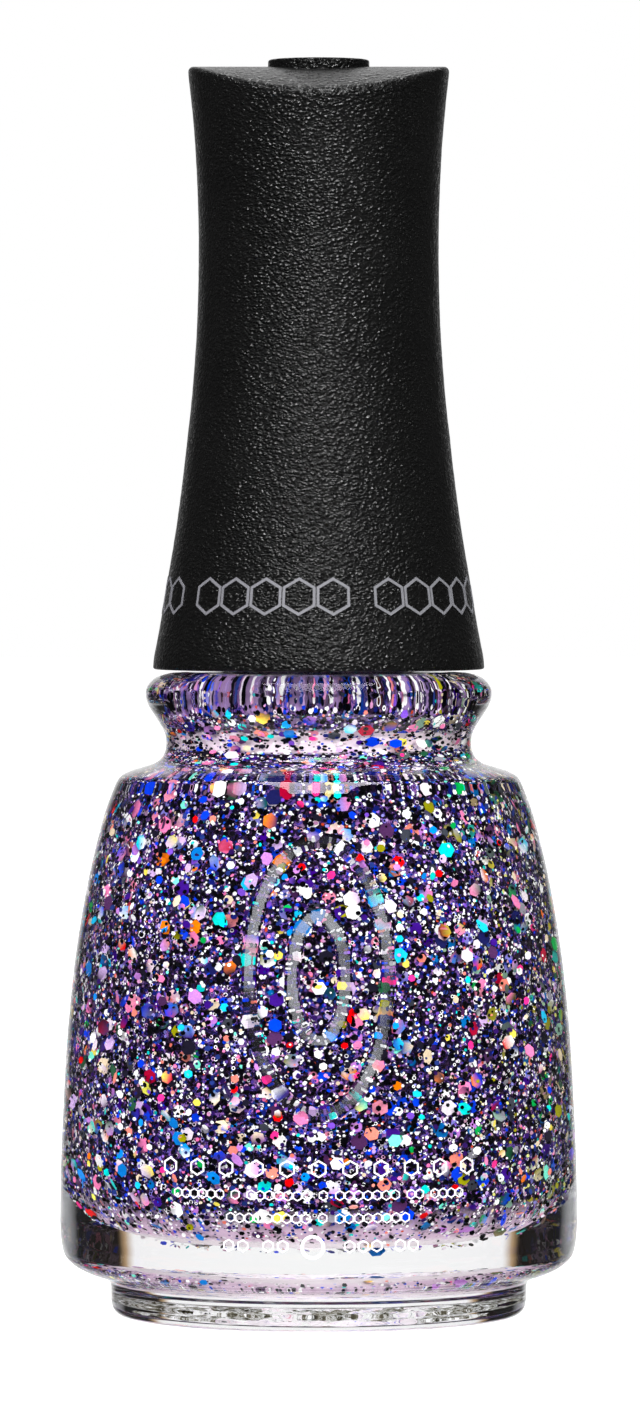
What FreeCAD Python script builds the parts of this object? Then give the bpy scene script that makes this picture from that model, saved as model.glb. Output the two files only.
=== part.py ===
import FreeCAD, Part
import math
import os

# Nail polish bottle.
# Frame: origin at the centre of the base, +Z up, front of the bottle towards -Y.
# Lengths in millimetres.

# ---------------------------------------------------------------- dimensions
# glass bottle, outer form
FOOT_R = 14.27            # radius of the foot
BODY_R = 17.77            # largest radius of the body
GROOVE_R = 10.46          # groove between shoulder and collar
COLLAR_R = 11.87          # bulge of the collar
COLLAR_TOP_Z = 44.10      # flat top of the collar
RECESS_R = 11.0           # shallow recess under the base
RECESS_D = 0.60

# glass bottle, cavity
CAVITY_FLOOR_Z = 5.30
CAVITY_EDGE_R = 12.44     # cavity radius at the top of its rounded floor
THROAT_R = 8.00           # cavity under the groove
COLLAR_CAVITY_R = 9.00    # cavity inside the collar
BORE_R = 4.00             # bore of the neck

# neck finish (13 mm screw neck)
NECK_R = 5.80             # neck wall
THREAD_R = 6.50           # thread crest
NECK_TOP_Z = 55.40
THREAD_PITCH = 2.117
THREAD_TURNS = 1.75
THREAD_START_Z = 49.6

# two embossed oval rings, one inside the other, on the front of the glass
OVAL_Z = 24.0
OVALS = ((5.3, 9.7), (2.4, 4.75))   # outer half width and half height of each
OVAL_LINE = 1.3
OVAL_PROUD = 0.35

# lacquer
FILL_Z = 42.40
LACQUER_GAP = 0.02

# agitator balls
BALL_R = 2.00
BALL_ORBIT = 6.00         # distance of the balls from the axis
BALL_GAP = 0.05           # clearance over the cavity floor
BALL_ANGLES = (200.0, 285.0)

# base label
LABEL_R = 10.50
LABEL_T = 0.10

# inner cap
INNER_R = 7.70
INNER_BOTTOM_Z = 44.60
INNER_TOP_Z = 58.80
INNER_BORE_R = 6.60
INNER_GROOVE_R = 7.10
INNER_ROOF_Z = 56.35      # underside of the roof
SPIGOT_HOLE_R = 3.05      # blind socket in the roof
SPIGOT_HOLE_TOP_Z = 58.15
SNAP_GROOVE_R = 3.36

# brush stem
FLANGE_R = 5.20
FLANGE_Z0 = 55.50
FLANGE_Z1 = 56.25
PLUG_R = 3.92
PLUG_BOTTOM_Z = 52.60
ROD_TOP_R = 1.75
ROD_BOTTOM_R = 1.50
ROD_BOTTOM_Z = 25.00
SPIGOT_R = 3.00
BARB_R = 3.28
SPIGOT_TOP_Z = 58.05
SOCKET_R = 1.05
SOCKET_TOP_Z = 27.40

# filament tuft and its anchor
TUFT_TIP_Z = 9.00
TUFT_MAX_R = 1.55
ANCHOR_R = 0.20
ANCHOR_HALF_L = 1.28
ANCHOR_Z = 26.40

# outer cap
CAP_BOTTOM_Z = 44.28
CAP_TOP_Z = 85.51
CAP_DOME_R = 20.30        # barrel curve of the top, axis along X
CAP_RIM_R = 8.92
CAP_LEDGE_Z = INNER_TOP_Z # the inner cap seats against this ledge
CAP_SKIRT_BOTTOM_R = 10.05
CAP_SKIRT_TOP_R = 7.85
CAP_HOLLOW_R = 6.85
CAP_HOLLOW_TOP_Z = 82.80
RIB_COUNT = 8
RIB_W = 0.90
RIB_REACH_R = INNER_R - 0.05   # ribs grip the inner cap
EMBLEM_R = 3.465
EMBLEM_BORE_R = 2.55
EMBLEM_TOP_Z = 86.00

V = FreeCAD.Vector
Z_AXIS = V(0, 0, 1)
ORIGIN = V(0, 0, 0)


# ---------------------------------------------------------------- helpers
def rz(r, z):
    return V(r, 0, z)


def spline(points, t0=None, t1=None):
    """Smooth curve through (r, z) points, with optional end directions."""
    c = Part.BSplineCurve()
    pts = [rz(*p) for p in points]
    if t0 is not None and t1 is not None:
        c.interpolate(Points=pts, InitialTangent=V(t0[0], 0, t0[1]), FinalTangent=V(t1[0], 0, t1[1]))
    else:
        c.interpolate(Points=pts)
    return c.toShape()


def chain(items):
    """Edges from a list of ('line', points) and ('curve', points, t0, t1)."""
    edges = []
    last = None
    for item in items:
        pts = item[1]
        if last is not None and (abs(last[0] - pts[0][0]) > 1e-9 or abs(last[1] - pts[0][1]) > 1e-9):
            edges.append(Part.makeLine(rz(*last), rz(*pts[0])))
        if item[0] == "line":
            for a, b in zip(pts[:-1], pts[1:]):
                edges.append(Part.makeLine(rz(*a), rz(*b)))
        else:
            t0 = item[2] if len(item) > 2 else None
            t1 = item[3] if len(item) > 3 else None
            edges.append(spline(pts, t0, t1))
        last = pts[-1]
    return edges, last


def turned(items):
    """Solid of revolution about Z from a closed outline in (r, z)."""
    edges, last = chain(items)
    first = items[0][1][0]
    if abs(last[0] - first[0]) > 1e-9 or abs(last[1] - first[1]) > 1e-9:
        edges.append(Part.makeLine(rz(*last), rz(*first)))
    wire = Part.Wire(Part.__sortEdges__(edges))
    solid = Part.Face(wire).revolve(ORIGIN, Z_AXIS, 360)
    if solid.ShapeType != "Solid":
        solid = solid.Solids[0]
    if solid.Volume < 0:
        solid.reverse()
    return solid


def one(shape, name):
    """The single solid of a shape."""
    shape = shape.removeSplitter()
    solids = shape.Solids
    if len(solids) != 1:
        raise RuntimeError("%s has %d solids" % (name, len(solids)))
    s = solids[0]
    if not s.isValid():
        raise RuntimeError("%s is not valid" % name)
    return s


def helix_ridge(root_r, crest_r, root_w, crest_w, pitch, turns, z0):
    """Trapezoidal helical ridge from root_r out to crest_r."""
    path = Part.makeHelix(pitch, pitch * turns, (root_r + crest_r) / 2.0)
    path = Part.Wire(path.Edges)
    path.translate(V(0, 0, z0))
    p = [V(root_r, 0, z0 - root_w / 2), V(crest_r, 0, z0 - crest_w / 2),
         V(crest_r, 0, z0 + crest_w / 2), V(root_r, 0, z0 + root_w / 2)]
    profile = Part.makePolygon(p + [p[0]])
    return path.makePipeShell([profile], True, True)


# ---------------------------------------------------------------- glass bottle
FOOT_CURVE = [(13.20, 0.0), (13.80, 0.10), (14.14, 0.45), (FOOT_R, 1.05)]
WAIST_CURVE = [(FOOT_R, 1.85), (14.42, 2.32), (14.98, 2.68), (15.95, 3.00), (16.82, 3.45),
               (17.42, 4.05), (17.69, 4.80), (BODY_R, 5.90)]
BODY_CURVE = [(BODY_R, 7.60), (17.73, 9.90), (17.66, 11.97), (17.56, 14.03), (17.46, 16.09),
              (17.34, 18.15), (17.18, 20.20), (16.98, 22.26), (16.74, 24.32), (16.44, 26.38),
              (16.09, 28.43), (15.68, 30.49), (15.19, 32.55), (14.62, 34.61), (14.02, 36.22)]
SHOULDER_CURVE = [(14.02, 36.22), (13.64, 36.88), (13.00, 37.26), (12.05, 37.56), (11.20, 37.86),
                  (10.72, 38.27), (10.50, 38.80), (GROOVE_R, 39.25)]
COLLAR_CURVE = [(GROOVE_R, 39.25), (10.52, 39.75), (10.72, 40.25), (11.22, 41.06), (11.62, 41.70),
                (11.82, 42.20), (COLLAR_R, 42.55), (11.80, 43.00), (11.42, 43.52), (10.94, 43.82),
                (10.20, 44.03), (9.30, COLLAR_TOP_Z)]


def outer_outline(grow=0.0):
    """Outer outline of the glass up to the collar top, moved out by grow."""
    def g(points):
        return [(r + grow, z) for r, z in points]
    return [("curve", g(FOOT_CURVE), (1, 0), (0, 1)),
            ("line", g([(FOOT_R, 1.05), (FOOT_R, 1.85)])),
            ("curve", g(WAIST_CURVE), (0, 1), (0, 1)),
            ("line", g([(BODY_R, 5.90), (BODY_R, 7.60)])),
            ("curve", g(BODY_CURVE)),
            ("curve", g(SHOULDER_CURVE)),
            ("curve", g(COLLAR_CURVE))]


def cavity_outline(gap=0.0, top_z=None):
    """Outline of the cavity, shrunk by gap; open to the bore when top_z is None."""
    g = gap
    lower = [("line", [(0, CAVITY_FLOOR_Z + g), (7.40, CAVITY_FLOOR_Z + g)]),
             ("curve", [(7.40, CAVITY_FLOOR_Z + g), (9.45 - g, 5.72 + g), (11.00 - g, 6.95 + g), (12.00 - g, 8.85),
                        (CAVITY_EDGE_R - g, 11.60)], (1, 0), (0, 1)),
             ("curve", [(CAVITY_EDGE_R - g, 11.60), (12.46 - g, 13.8), (12.40 - g, 16.4), (12.28 - g, 19.0),
                        (12.08 - g, 22.0), (11.78 - g, 25.0), (11.39 - g, 28.0), (10.88 - g, 30.8),
                        (10.30 - g, 33.2), (9.64 - g, 35.2), (8.97 - g, 36.6), (8.33 - g, 37.7),
                        (THROAT_R - g, 38.8)]),
             ("curve", [(THROAT_R - g, 38.8), (8.10 - g, 39.8), (8.55 - g, 40.9),
                        (COLLAR_CAVITY_R - g, 41.8)])]
    if top_z is not None:
        return lower + [("line", [(COLLAR_CAVITY_R - g, 41.8), (COLLAR_CAVITY_R - g - 0.14, top_z), (0, top_z)])]
    return lower + [("line", [(COLLAR_CAVITY_R, 41.8), (COLLAR_CAVITY_R, 42.2)]),
                    ("curve", [(COLLAR_CAVITY_R, 42.2), (8.55, 42.80), (7.30, 43.08), (5.90, 43.40), (4.70, 44.20), (BORE_R, 45.60)],
                     (0, 1), (0, 1)),
                    ("line", [(BORE_R, 45.60), (BORE_R, NECK_TOP_Z + 1.0), (0, NECK_TOP_Z + 1.0)])]


def make_bottle():
    outline = ([("line", [(0, RECESS_D), (RECESS_R, RECESS_D), (RECESS_R + 0.25, 0.0), (13.20, 0.0)])]
               + outer_outline()
               + [("line", [(9.30, COLLAR_TOP_Z), (6.40, COLLAR_TOP_Z)]),
                  ("curve", [(6.40, COLLAR_TOP_Z), (5.97, 44.28), (NECK_R, 44.70)], (-1, 0), (0, 1)),
                  ("line", [(NECK_R, 44.70), (NECK_R, 55.10), (5.50, NECK_TOP_Z), (0, NECK_TOP_Z)])])
    glass = turned(outline)
    ridge = helix_ridge(NECK_R - 0.25, THREAD_R, 1.30, 0.55, THREAD_PITCH, THREAD_TURNS, THREAD_START_Z)
    glass = glass.fuse(ridge)
    cavity = turned(cavity_outline())
    glass = glass.cut(cavity)
    # embossed rings standing proud of the front wall
    skin = turned([("line", [(0, 3.5), (16.9 + OVAL_PROUD, 3.5), (BODY_R + OVAL_PROUD, 7.60)]),
                   ("curve", [(r + OVAL_PROUD, z) for r, z in BODY_CURVE]),
                   ("line", [(14.02 + OVAL_PROUD, 36.22), (0, 36.22)])])
    core = turned([("line", [(0, 3.5), (16.5, 3.5), (BODY_R - 0.6, 7.60)]),
                   ("curve", [(r - 0.6, z) for r, z in BODY_CURVE]),
                   ("line", [(14.02 - 0.6, 36.22), (0, 36.22)])])

    # each oval lies in the XZ plane, long axis upright, and is pushed along Y
    def oval_prism(a, b):
        e = Part.Ellipse()
        e.Center = ORIGIN
        e.MajorRadius = b
        e.MinorRadius = a
        w = Part.Wire([e.toShape()])
        # ellipse in XY with major axis X: turn the major axis to Z
        w.rotate(ORIGIN, V(0, 0, 1), 90)
        w.rotate(ORIGIN, V(1, 0, 0), 90)
        w.translate(V(0, -24.0, OVAL_Z))
        return Part.Face(w).extrude(V(0, 16.0, 0))
    for half_w, half_h in OVALS:
        ring = oval_prism(half_w, half_h).cut(oval_prism(half_w - OVAL_LINE, half_h - OVAL_LINE))
        glass = glass.fuse(ring.common(skin).cut(core))
    return one(glass, "bottle")


# ---------------------------------------------------------------- brush
def rod_r(z):
    f = (z - ROD_BOTTOM_Z) / (PLUG_BOTTOM_Z - ROD_BOTTOM_Z)
    return ROD_BOTTOM_R + (ROD_TOP_R - ROD_BOTTOM_R) * f


def anchor_pin(r=ANCHOR_R, half=ANCHOR_HALF_L):
    return Part.makeCylinder(r, 2 * half, V(-half, 0, ANCHOR_Z), V(1, 0, 0))


def make_stem():
    s = turned([("line", [(0, ROD_BOTTOM_Z), (ROD_BOTTOM_R - 0.2, ROD_BOTTOM_Z), (ROD_BOTTOM_R, ROD_BOTTOM_Z + 0.3),
                          (ROD_TOP_R, PLUG_BOTTOM_Z - 0.6), (PLUG_R - 0.5, PLUG_BOTTOM_Z), (PLUG_R, PLUG_BOTTOM_Z + 0.6),
                          (PLUG_R, FLANGE_Z0), (FLANGE_R, FLANGE_Z0), (FLANGE_R, FLANGE_Z1), (SPIGOT_R, FLANGE_Z1),
                          (SPIGOT_R, 57.15), (BARB_R, 57.25), (BARB_R, 57.45),
                          (SPIGOT_R - 0.2, SPIGOT_TOP_Z), (0, SPIGOT_TOP_Z)])])
    socket = Part.makeCylinder(SOCKET_R, SOCKET_TOP_Z - ROD_BOTTOM_Z + 1.0, V(0, 0, ROD_BOTTOM_Z - 1.0))
    # moulding core left in the spigot
    core = Part.makeCylinder(1.2, 4.4, V(0, 0, SPIGOT_TOP_Z - 3.4))
    s = s.cut(socket).cut(core).cut(anchor_pin())
    return one(s, "wand_stem")


TUFT_CURVE = [(SOCKET_R, ROD_BOTTOM_Z), (1.18, 23.6), (1.38, 20.5), (1.50, 16.5), (TUFT_MAX_R, 12.5), (1.48, 10.6),
              (1.10, 9.45), (0.0, TUFT_TIP_Z)]


def make_tuft():
    s = turned([("line", [(0, SOCKET_TOP_Z), (SOCKET_R, SOCKET_TOP_Z), (SOCKET_R, ROD_BOTTOM_Z)]),
                ("curve", TUFT_CURVE, (0, -1), (-1, 0))])
    return one(s.cut(anchor_pin()), "bristle_tuft")


# ---------------------------------------------------------------- closure
def make_inner_cap():
    s = turned([("line", [(INNER_BORE_R + 0.25, INNER_BOTTOM_Z), (INNER_R - 0.2, INNER_BOTTOM_Z), (INNER_R, INNER_BOTTOM_Z + 0.2),
                          (INNER_R, INNER_TOP_Z - 0.3), (INNER_R - 0.3, INNER_TOP_Z), (0, INNER_TOP_Z), (0, SPIGOT_HOLE_TOP_Z),
                          (SPIGOT_HOLE_R, SPIGOT_HOLE_TOP_Z), (SPIGOT_HOLE_R, 57.85), (SNAP_GROOVE_R, 57.55),
                          (SNAP_GROOVE_R, 57.15), (SPIGOT_HOLE_R, 57.05),
                          (SPIGOT_HOLE_R, INNER_ROOF_Z), (INNER_BORE_R - 0.3, INNER_ROOF_Z), (INNER_BORE_R, INNER_ROOF_Z - 0.3),
                          (INNER_BORE_R, INNER_BOTTOM_Z + 0.25)])])
    groove = helix_ridge(INNER_BORE_R - 0.3, INNER_GROOVE_R, 1.35, 0.55, THREAD_PITCH, 3.5, 47.0)
    return one(s.cut(groove), "inner_cap")


CAP_CURVE = [(11.36, 44.60), (11.28, 45.20), (11.12, 46.00), (10.91, 47.10), (10.63, 48.74), (10.36, 50.39), (10.08, 52.03),
             (9.81, 53.68), (9.57, 55.33), (9.36, 56.97), (9.16, 58.62), (8.98, 60.27), (8.79, 61.91), (8.63, 63.56),
             (8.50, 65.20), (8.39, 66.85), (8.31, 68.50), (8.26, 70.14), (8.23, 71.79), (8.22, 73.43), (8.24, 75.08),
             (8.29, 76.73), (8.36, 78.38), (8.45, 80.02), (8.58, 81.67), (8.74, 83.31), (CAP_RIM_R, 84.96)]


def make_outer_cap():
    body = turned([("line", [(0, CAP_BOTTOM_Z), (11.21, CAP_BOTTOM_Z), (11.36, CAP_BOTTOM_Z + 0.15), (11.36, 44.60)]),
                   ("curve", CAP_CURVE),
                   ("line", [(CAP_RIM_R, 84.96), (CAP_RIM_R, CAP_TOP_Z + 1.0), (0, CAP_TOP_Z + 1.0)])])
    # barrel-curved top, its ridge running left to right
    barrel = Part.makeCylinder(CAP_DOME_R, 40.0, V(-20, 0, CAP_TOP_Z - CAP_DOME_R), V(1, 0, 0))
    lower = Part.makeBox(40, 40, CAP_TOP_Z - 6.0, V(-20, -20, 0))
    body = body.common(barrel.fuse(lower))
    # raised emblem ring
    emblem = Part.makeCylinder(EMBLEM_R, 1.4, V(0, 0, EMBLEM_TOP_Z - 1.4))
    emblem = emblem.cut(Part.makeCylinder(EMBLEM_BORE_R, 3.0, V(0, 0, EMBLEM_TOP_Z - 2.0)))
    body = body.fuse(emblem)
    # skirt and upper hollow
    skirt = turned([("line", [(0, CAP_BOTTOM_Z - 1), (CAP_SKIRT_BOTTOM_R + 0.1, CAP_BOTTOM_Z - 1), (CAP_SKIRT_BOTTOM_R + 0.1, CAP_BOTTOM_Z),
                              (CAP_SKIRT_BOTTOM_R, CAP_BOTTOM_Z + 0.2), (CAP_SKIRT_TOP_R, CAP_LEDGE_Z), (0, CAP_LEDGE_Z)])])
    hollow = turned([("line", [(0, CAP_LEDGE_Z - 1), (CAP_HOLLOW_R, CAP_LEDGE_Z - 1), (CAP_HOLLOW_R, CAP_HOLLOW_TOP_Z - 1.2),
                               (CAP_HOLLOW_R - 1.2, CAP_HOLLOW_TOP_Z), (0, CAP_HOLLOW_TOP_Z)])])
    # gripping ribs stay inside the skirt
    ribs = None
    for i in range(RIB_COUNT):
        box = Part.makeBox(4.0, RIB_W, CAP_LEDGE_Z - 45.4, V(RIB_REACH_R, -RIB_W / 2, 45.4))
        box.rotate(ORIGIN, Z_AXIS, i * 360.0 / RIB_COUNT + 22.5)
        ribs = box if ribs is None else ribs.fuse(box)
    body = body.cut(skirt.cut(ribs)).cut(hollow)
    return one(body, "outer_cap")


# ---------------------------------------------------------------- contents
def ball_centres():
    out = []
    for a in BALL_ANGLES:
        t = math.radians(a)
        out.append(V(BALL_ORBIT * math.cos(t), BALL_ORBIT * math.sin(t), CAVITY_FLOOR_Z + BALL_R + BALL_GAP))
    return out


def make_lacquer():
    s = turned(cavity_outline(LACQUER_GAP, FILL_Z))
    # room for the rod and the tuft
    g = 0.08
    rod = turned([("line", [(0, ROD_BOTTOM_Z - 0.3), (ROD_BOTTOM_R + g, ROD_BOTTOM_Z - 0.3), (ROD_TOP_R + g, PLUG_BOTTOM_Z), (0, PLUG_BOTTOM_Z)])])
    tuft = turned([("line", [(0, ROD_BOTTOM_Z), (1.25, ROD_BOTTOM_Z), (1.60, 18.0), (TUFT_MAX_R + 0.12, 13.5), (TUFT_MAX_R + 0.12, 10.2),
                             (1.25, 9.2), (0.3, TUFT_TIP_Z - g), (0, TUFT_TIP_Z - g)])])
    s = s.cut(rod.fuse(tuft))
    for c in ball_centres():
        s = s.cut(Part.makeSphere(BALL_R + BALL_GAP, c))
    return one(s, "lacquer")


def make_ball(c):
    return Part.makeSphere(BALL_R, c).Solids[0]


def make_label():
    return Part.makeCylinder(LABEL_R, LABEL_T, V(0, 0, RECESS_D - LABEL_T)).Solids[0]


# ---------------------------------------------------------------- build
b1, b2 = ball_centres()
nodes = {
    "bottle": make_bottle(),
    "lacquer": make_lacquer(),
    "mixing_ball_1": make_ball(b1),
    "mixing_ball_2": make_ball(b2),
    "base_label": make_label(),
    "inner_cap": make_inner_cap(),
    "outer_cap": make_outer_cap(),
    "wand_stem": make_stem(),
    "bristle_tuft": make_tuft(),
    "bristle_anchor": anchor_pin().Solids[0],
}

os.makedirs("parts", exist_ok=True)
for name, shape in nodes.items():
    shape.exportStep(os.path.join("parts", name + ".step"))
    bb = shape.BoundBox
    print("%-16s valid=%s volume=%.3f cm3 z %.3f..%.3f x %.3f..%.3f" % (
        name, shape.isValid(), shape.Volume / 1000.0, bb.ZMin, bb.ZMax, bb.XMin, bb.XMax))
full = turned(cavity_outline())
print("brimful %.2f ml" % (full.common(Part.makeBox(60, 60, NECK_TOP_Z, V(-30, -30, 0))).Volume / 1000.0))
print("below fill line %.2f ml" % (turned(cavity_outline(0.0, FILL_Z)).Volume / 1000.0))
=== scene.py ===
import bpy, bmesh, math
import numpy as np
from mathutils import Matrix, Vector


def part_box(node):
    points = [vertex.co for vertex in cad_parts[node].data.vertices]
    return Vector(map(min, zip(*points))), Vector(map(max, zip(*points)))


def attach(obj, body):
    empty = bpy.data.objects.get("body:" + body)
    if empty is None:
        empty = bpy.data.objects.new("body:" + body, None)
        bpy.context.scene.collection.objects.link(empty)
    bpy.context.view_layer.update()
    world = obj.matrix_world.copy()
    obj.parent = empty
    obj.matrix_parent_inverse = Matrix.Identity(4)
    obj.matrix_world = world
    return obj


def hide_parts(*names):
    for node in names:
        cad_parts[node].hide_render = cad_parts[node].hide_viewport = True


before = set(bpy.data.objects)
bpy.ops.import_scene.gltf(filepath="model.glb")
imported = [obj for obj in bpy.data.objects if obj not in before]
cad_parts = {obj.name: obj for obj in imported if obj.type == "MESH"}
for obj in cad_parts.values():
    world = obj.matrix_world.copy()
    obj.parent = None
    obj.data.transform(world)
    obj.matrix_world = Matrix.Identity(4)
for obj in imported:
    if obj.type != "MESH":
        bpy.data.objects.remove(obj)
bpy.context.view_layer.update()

MM = 0.001
RNG = np.random.default_rng(20260117)


# ------------------------------------------------------------------ colours
def lin(c):
    """sRGB hex or triple to linear rgba."""
    if isinstance(c, str):
        c = [int(c[i:i + 2], 16) / 255 for i in (1, 3, 5)]
    return tuple(x / 12.92 if x <= 0.04045 else ((x + 0.055) / 1.055) ** 2.4 for x in c) + (1.0,)


# ------------------------------------------------------------------ outlines, in mm
def smooth(points, step=0.25):
    """Points along a smooth curve through the given (r, z) points."""
    P = np.array(points, float)
    ext = np.vstack([2 * P[0] - P[1], P, 2 * P[-1] - P[-2]])
    out = []
    for i in range(len(P) - 1):
        p0, p1, p2, p3 = ext[i:i + 4]
        t0 = 0.0
        t1 = t0 + max(np.linalg.norm(p1 - p0), 1e-6) ** 0.5
        t2 = t1 + max(np.linalg.norm(p2 - p1), 1e-6) ** 0.5
        t3 = t2 + max(np.linalg.norm(p3 - p2), 1e-6) ** 0.5
        n = max(2, int(np.ceil(np.linalg.norm(p2 - p1) / step)))
        for k in range(n):
            t = t1 + (t2 - t1) * k / n
            a1 = (t1 - t) / (t1 - t0) * p0 + (t - t0) / (t1 - t0) * p1
            a2 = (t2 - t) / (t2 - t1) * p1 + (t - t1) / (t2 - t1) * p2
            a3 = (t3 - t) / (t3 - t2) * p2 + (t - t2) / (t3 - t2) * p3
            b1 = (t2 - t) / (t2 - t0) * a1 + (t - t0) / (t2 - t0) * a2
            b2 = (t3 - t) / (t3 - t1) * a2 + (t - t1) / (t3 - t1) * a3
            out.append((t2 - t) / (t2 - t1) * b1 + (t - t1) / (t2 - t1) * b2)
    out.append(P[-1])
    return [tuple(p) for p in out]


def line(a, b, step=0.6):
    n = max(1, int(math.ceil(math.dist(a, b) / step)))
    return [(a[0] + (b[0] - a[0]) * k / n, a[1] + (b[1] - a[1]) * k / n) for k in range(n + 1)]


def corner(a, c, b, r, n=5):
    """Rounded corner at c between the directions to a and b."""
    a, c, b = (np.array(p, float) for p in (a, c, b))
    u, v = (a - c) / np.linalg.norm(a - c), (b - c) / np.linalg.norm(b - c)
    half = math.acos(max(-1, min(1, float(u @ v)))) / 2
    d = r / math.tan(half)
    mid = c + (u + v) / np.linalg.norm(u + v) * r / math.sin(half)
    p, q = c + u * d - mid, c + v * d - mid
    out = []
    ang = math.acos(max(-1, min(1, float(p @ q) / (r * r))))
    for k in range(n + 1):
        t = k / n
        w = (math.sin((1 - t) * ang) * p + math.sin(t * ang) * q) / math.sin(ang)
        out.append(tuple(mid + w))
    return out


def rounded(points, radii, n=4, step=0.6):
    """Polyline with rounded corners; radii per inner point."""
    out = [points[0]]
    for i in range(1, len(points) - 1):
        r = radii[i - 1]
        arc = corner(points[i - 1], points[i], points[i + 1], r, n) if r > 0 else [points[i]]
        out += line(out[-1], arc[0], step)[1:] + arc[1:]
    out += line(out[-1], points[-1], step)[1:]
    return out


def join(*parts):
    out = []
    for p in parts:
        for q in p:
            if not out or math.dist(out[-1], q) > 1e-4:
                out.append(tuple(q))
    return out


# ------------------------------------------------------------------ mesh making
def even_angles(n):
    return [2 * math.pi * k / n for k in range(n)]


def front_angles(fine_deg, span_deg, coarse_deg):
    """Angles round the axis, closer together at the front (0 is -Y)."""
    a = list(np.radians(np.arange(-span_deg, span_deg + 1e-6, fine_deg)))
    n = int(round((360 - 2 * span_deg) / coarse_deg))
    rest = np.linspace(math.radians(span_deg), math.radians(360 - span_deg), n + 1)[1:-1]
    return a + list(rest)


def new_object(name, verts, faces, mats, index=None, smooth_on=True, fix=True, body="bottle", slot=None):
    me = bpy.data.meshes.new(name)
    me.from_pydata([tuple(v) for v in verts], [], [tuple(f) for f in faces])
    for m in mats:
        me.materials.append(m)
    if index is not None:
        me.polygons.foreach_set("material_index", np.array(index, np.int32))
    if fix:
        bm = bmesh.new()
        bm.from_mesh(me)
        bmesh.ops.recalc_face_normals(bm, faces=bm.faces)
        bm.to_mesh(me)
        bm.free()
    if smooth_on:
        me.polygons.foreach_set("use_smooth", [True] * len(me.polygons))
    me.update()
    ob = bpy.data.objects.new(name, me)
    bpy.context.scene.collection.objects.link(ob)
    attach(ob, body)
    return ob


def lathe(name, prof, angles, mats, mat_of=None, shape=None, closed_loop=False, face_mat=None, **kw):
    """Turned closed mesh from (r, z) mm points; poles where r is 0. shape(r, z, phi) may move a point."""
    verts, rows = [], []
    for r, z in prof:
        if r < 1e-6:
            rows.append([len(verts)])
            x, y, zz = (0, 0, z) if shape is None else shape(0.0, z, 0.0)
            verts.append((x * MM, y * MM, zz * MM))
        else:
            row = []
            for a in angles:
                if shape is None:
                    p = (r * math.sin(a), -r * math.cos(a), z)
                else:
                    p = shape(r, z, a)
                row.append(len(verts))
                verts.append((p[0] * MM, p[1] * MM, p[2] * MM))
            rows.append(row)
    faces, index = [], []
    pairs = list(zip(rows[:-1], rows[1:])) + ([(rows[-1], rows[0])] if closed_loop else [])
    n = len(angles)
    for i, (a, b) in enumerate(pairs):
        m = 0 if mat_of is None else mat_of(i)
        if len(a) == 1 and len(b) == 1:
            continue
        for k in range(n):
            j = (k + 1) % n
            if len(a) == 1:
                faces.append((a[0], b[k], b[j]))
            elif len(b) == 1:
                faces.append((a[k], a[j], b[0]))
            else:
                faces.append((a[k], a[j], b[j], b[k]))
            index.append(m if face_mat is None else face_mat(i, k, m))
    return new_object(name, verts, faces, mats, index, **kw)


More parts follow.
